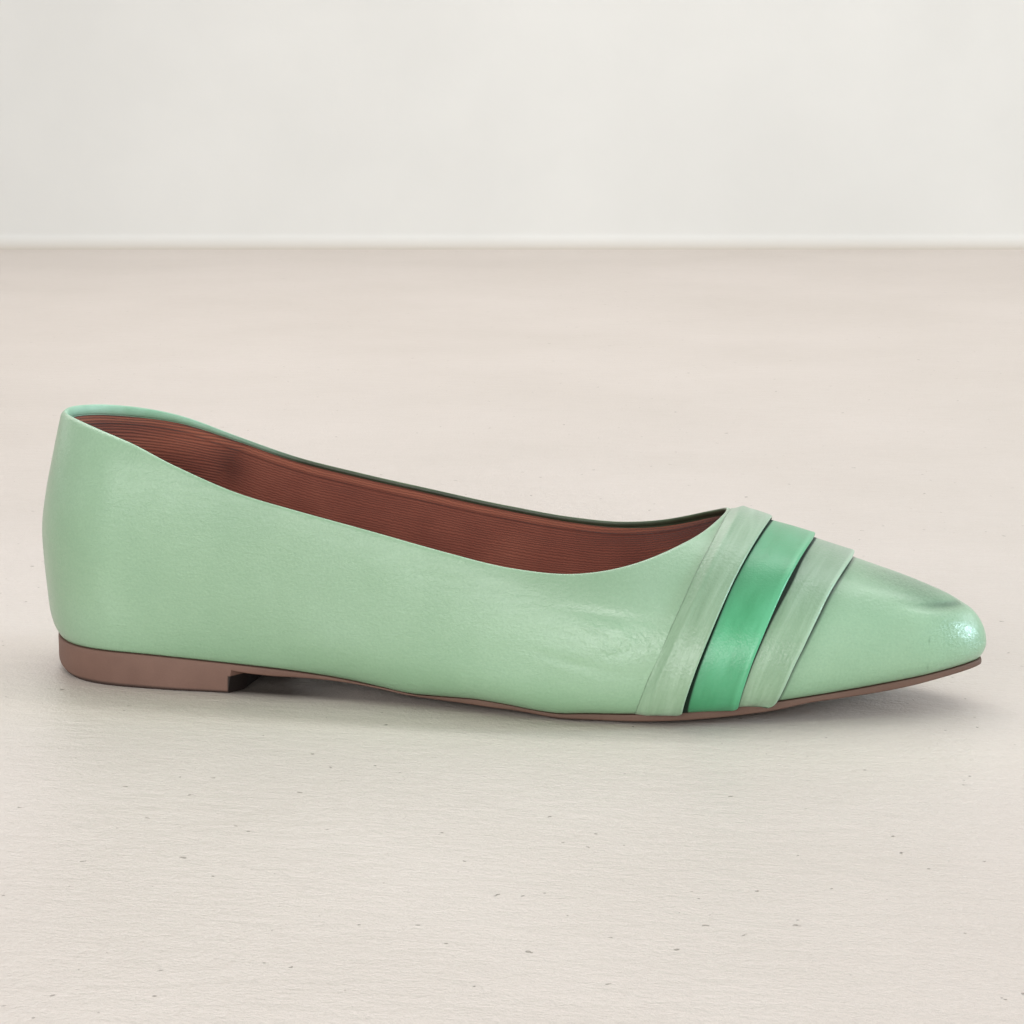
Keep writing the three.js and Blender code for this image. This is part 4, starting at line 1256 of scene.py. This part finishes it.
def make_stage():
    fwd = np.array([math.sin(YAW), math.cos(YAW)])
    right = np.array([math.cos(YAW), -math.sin(YAW)])
    wall = 2.03
    c = np.array([CAM.x, CAM.y])

    def sheet(name, prof, mat):
        verts = []
        for d, z in prof:
            p = c + fwd * d
            verts += [(p[0] - right[0] * 3, p[1] - right[1] * 3, z), (p[0] + right[0] * 3, p[1] + right[1] * 3, z)]
        faces = [(2 * i, 2 * i + 1, 2 * i + 3, 2 * i + 2) for i in range(len(prof) - 1)]
        me = bpy.data.meshes.new(name)
        me.from_pydata(verts, [], faces)
        me.polygons.foreach_set("use_smooth", [True] * len(faces))
        me.materials.append(mat)
        ob = bpy.data.objects.new(name, me)
        bpy.context.scene.collection.objects.link(ob)
    sheet("studio_floor", [(-2.2, 0.0), (wall, 0.0)], FLOOR)
    sheet("studio_wall", [(wall - 0.012, 0.0)] + [(wall - 0.012 + 0.012 * math.sin(a), 0.012 - 0.012 * math.cos(a))
                                                  for a in np.linspace(0.3, math.pi / 2, 5)] + [(wall, 2.4)], WALL_PAINT)


FLOOR = stage_material("studio_floor", srgb(207, 196, 187), srgb(216, 205, 197), 0.32, 0.5, True)
WALL_PAINT = stage_material("studio_wall", srgb(236, 234, 229), srgb(241, 239, 234), 0.8, 0.3, False)
make_stage()


def area(name, loc, target, size, power, colour=(1, 1, 1)):
    d = bpy.data.lights.new(name, "AREA")
    d.shape = "RECTANGLE"
    d.size, d.size_y = size
    d.energy = power
    d.color = colour
    o = bpy.data.objects.new(name, d)
    bpy.context.scene.collection.objects.link(o)
    o.location = loc
    o.rotation_mode = "QUATERNION"
    o.rotation_quaternion = (Vector(target) - Vector(loc)).to_track_quat("-Z", "Y")
    return o


def lamp(name, azimuth, elevation, size, power, colour=(1, 1, 1), distance=1.15):
    """azimuth 0 = from the camera's side (-y), positive towards the toe"""
    a, e = math.radians(azimuth), math.radians(elevation)
    loc = (math.sin(a) * math.cos(e) * distance, -math.cos(a) * math.cos(e) * distance, math.sin(e) * distance + 0.03)
    return area(name, loc, (0, 0, 0.03), size, power, colour)


lamp("window_low", -16, 17, (0.95, 0.38), 3.75)
lamp("window_high", 13, 15, (0.44, 0.17), 3.1)
lamp("right_cool", 97, 14, (0.17, 0.17), 4.8, (0.64, 0.88, 1.0))
lamp("right_back", 120, 25, (0.5, 0.4), 1.6, (0.85, 0.94, 1.0))
lamp("left_back", -145, 42, (0.8, 0.8), 2.3)
lamp("left_low", -110, 16, (0.45, 0.45), 0.6)
lamp("top_soft", 0, 90, (1.6, 1.6), 2.8, distance=1.4)
area("wall_wash", (0.2, 0.75, 1.9), (0.3, 1.5, 0.5), (2.2, 0.5), 19.0)

world = bpy.data.worlds.new("studio_world")
bpy.context.scene.world = world
world.use_nodes = True
bg = world.node_tree.nodes["Background"]
bg.inputs[0].default_value = (1.0, 1.0, 1.0, 1)
bg.inputs[1].default_value = 0.42

cam_data = bpy.data.cameras.new("camera")
cam_data.lens = LENS
cam_data.sensor_width = 36.0
cam_data.clip_start, cam_data.clip_end = 0.01, 20.0
cam = bpy.data.objects.new("camera", cam_data)
bpy.context.scene.collection.objects.link(cam)
cam.location = CAM
direction = Vector((math.sin(YAW) * math.cos(PITCH), math.cos(YAW) * math.cos(PITCH), -math.sin(PITCH)))
cam.rotation_mode = "QUATERNION"
cam.rotation_quaternion = direction.to_track_quat("-Z", "Y")
bpy.context.scene.camera = cam
bpy.context.scene.view_settings.view_transform = "Standard"
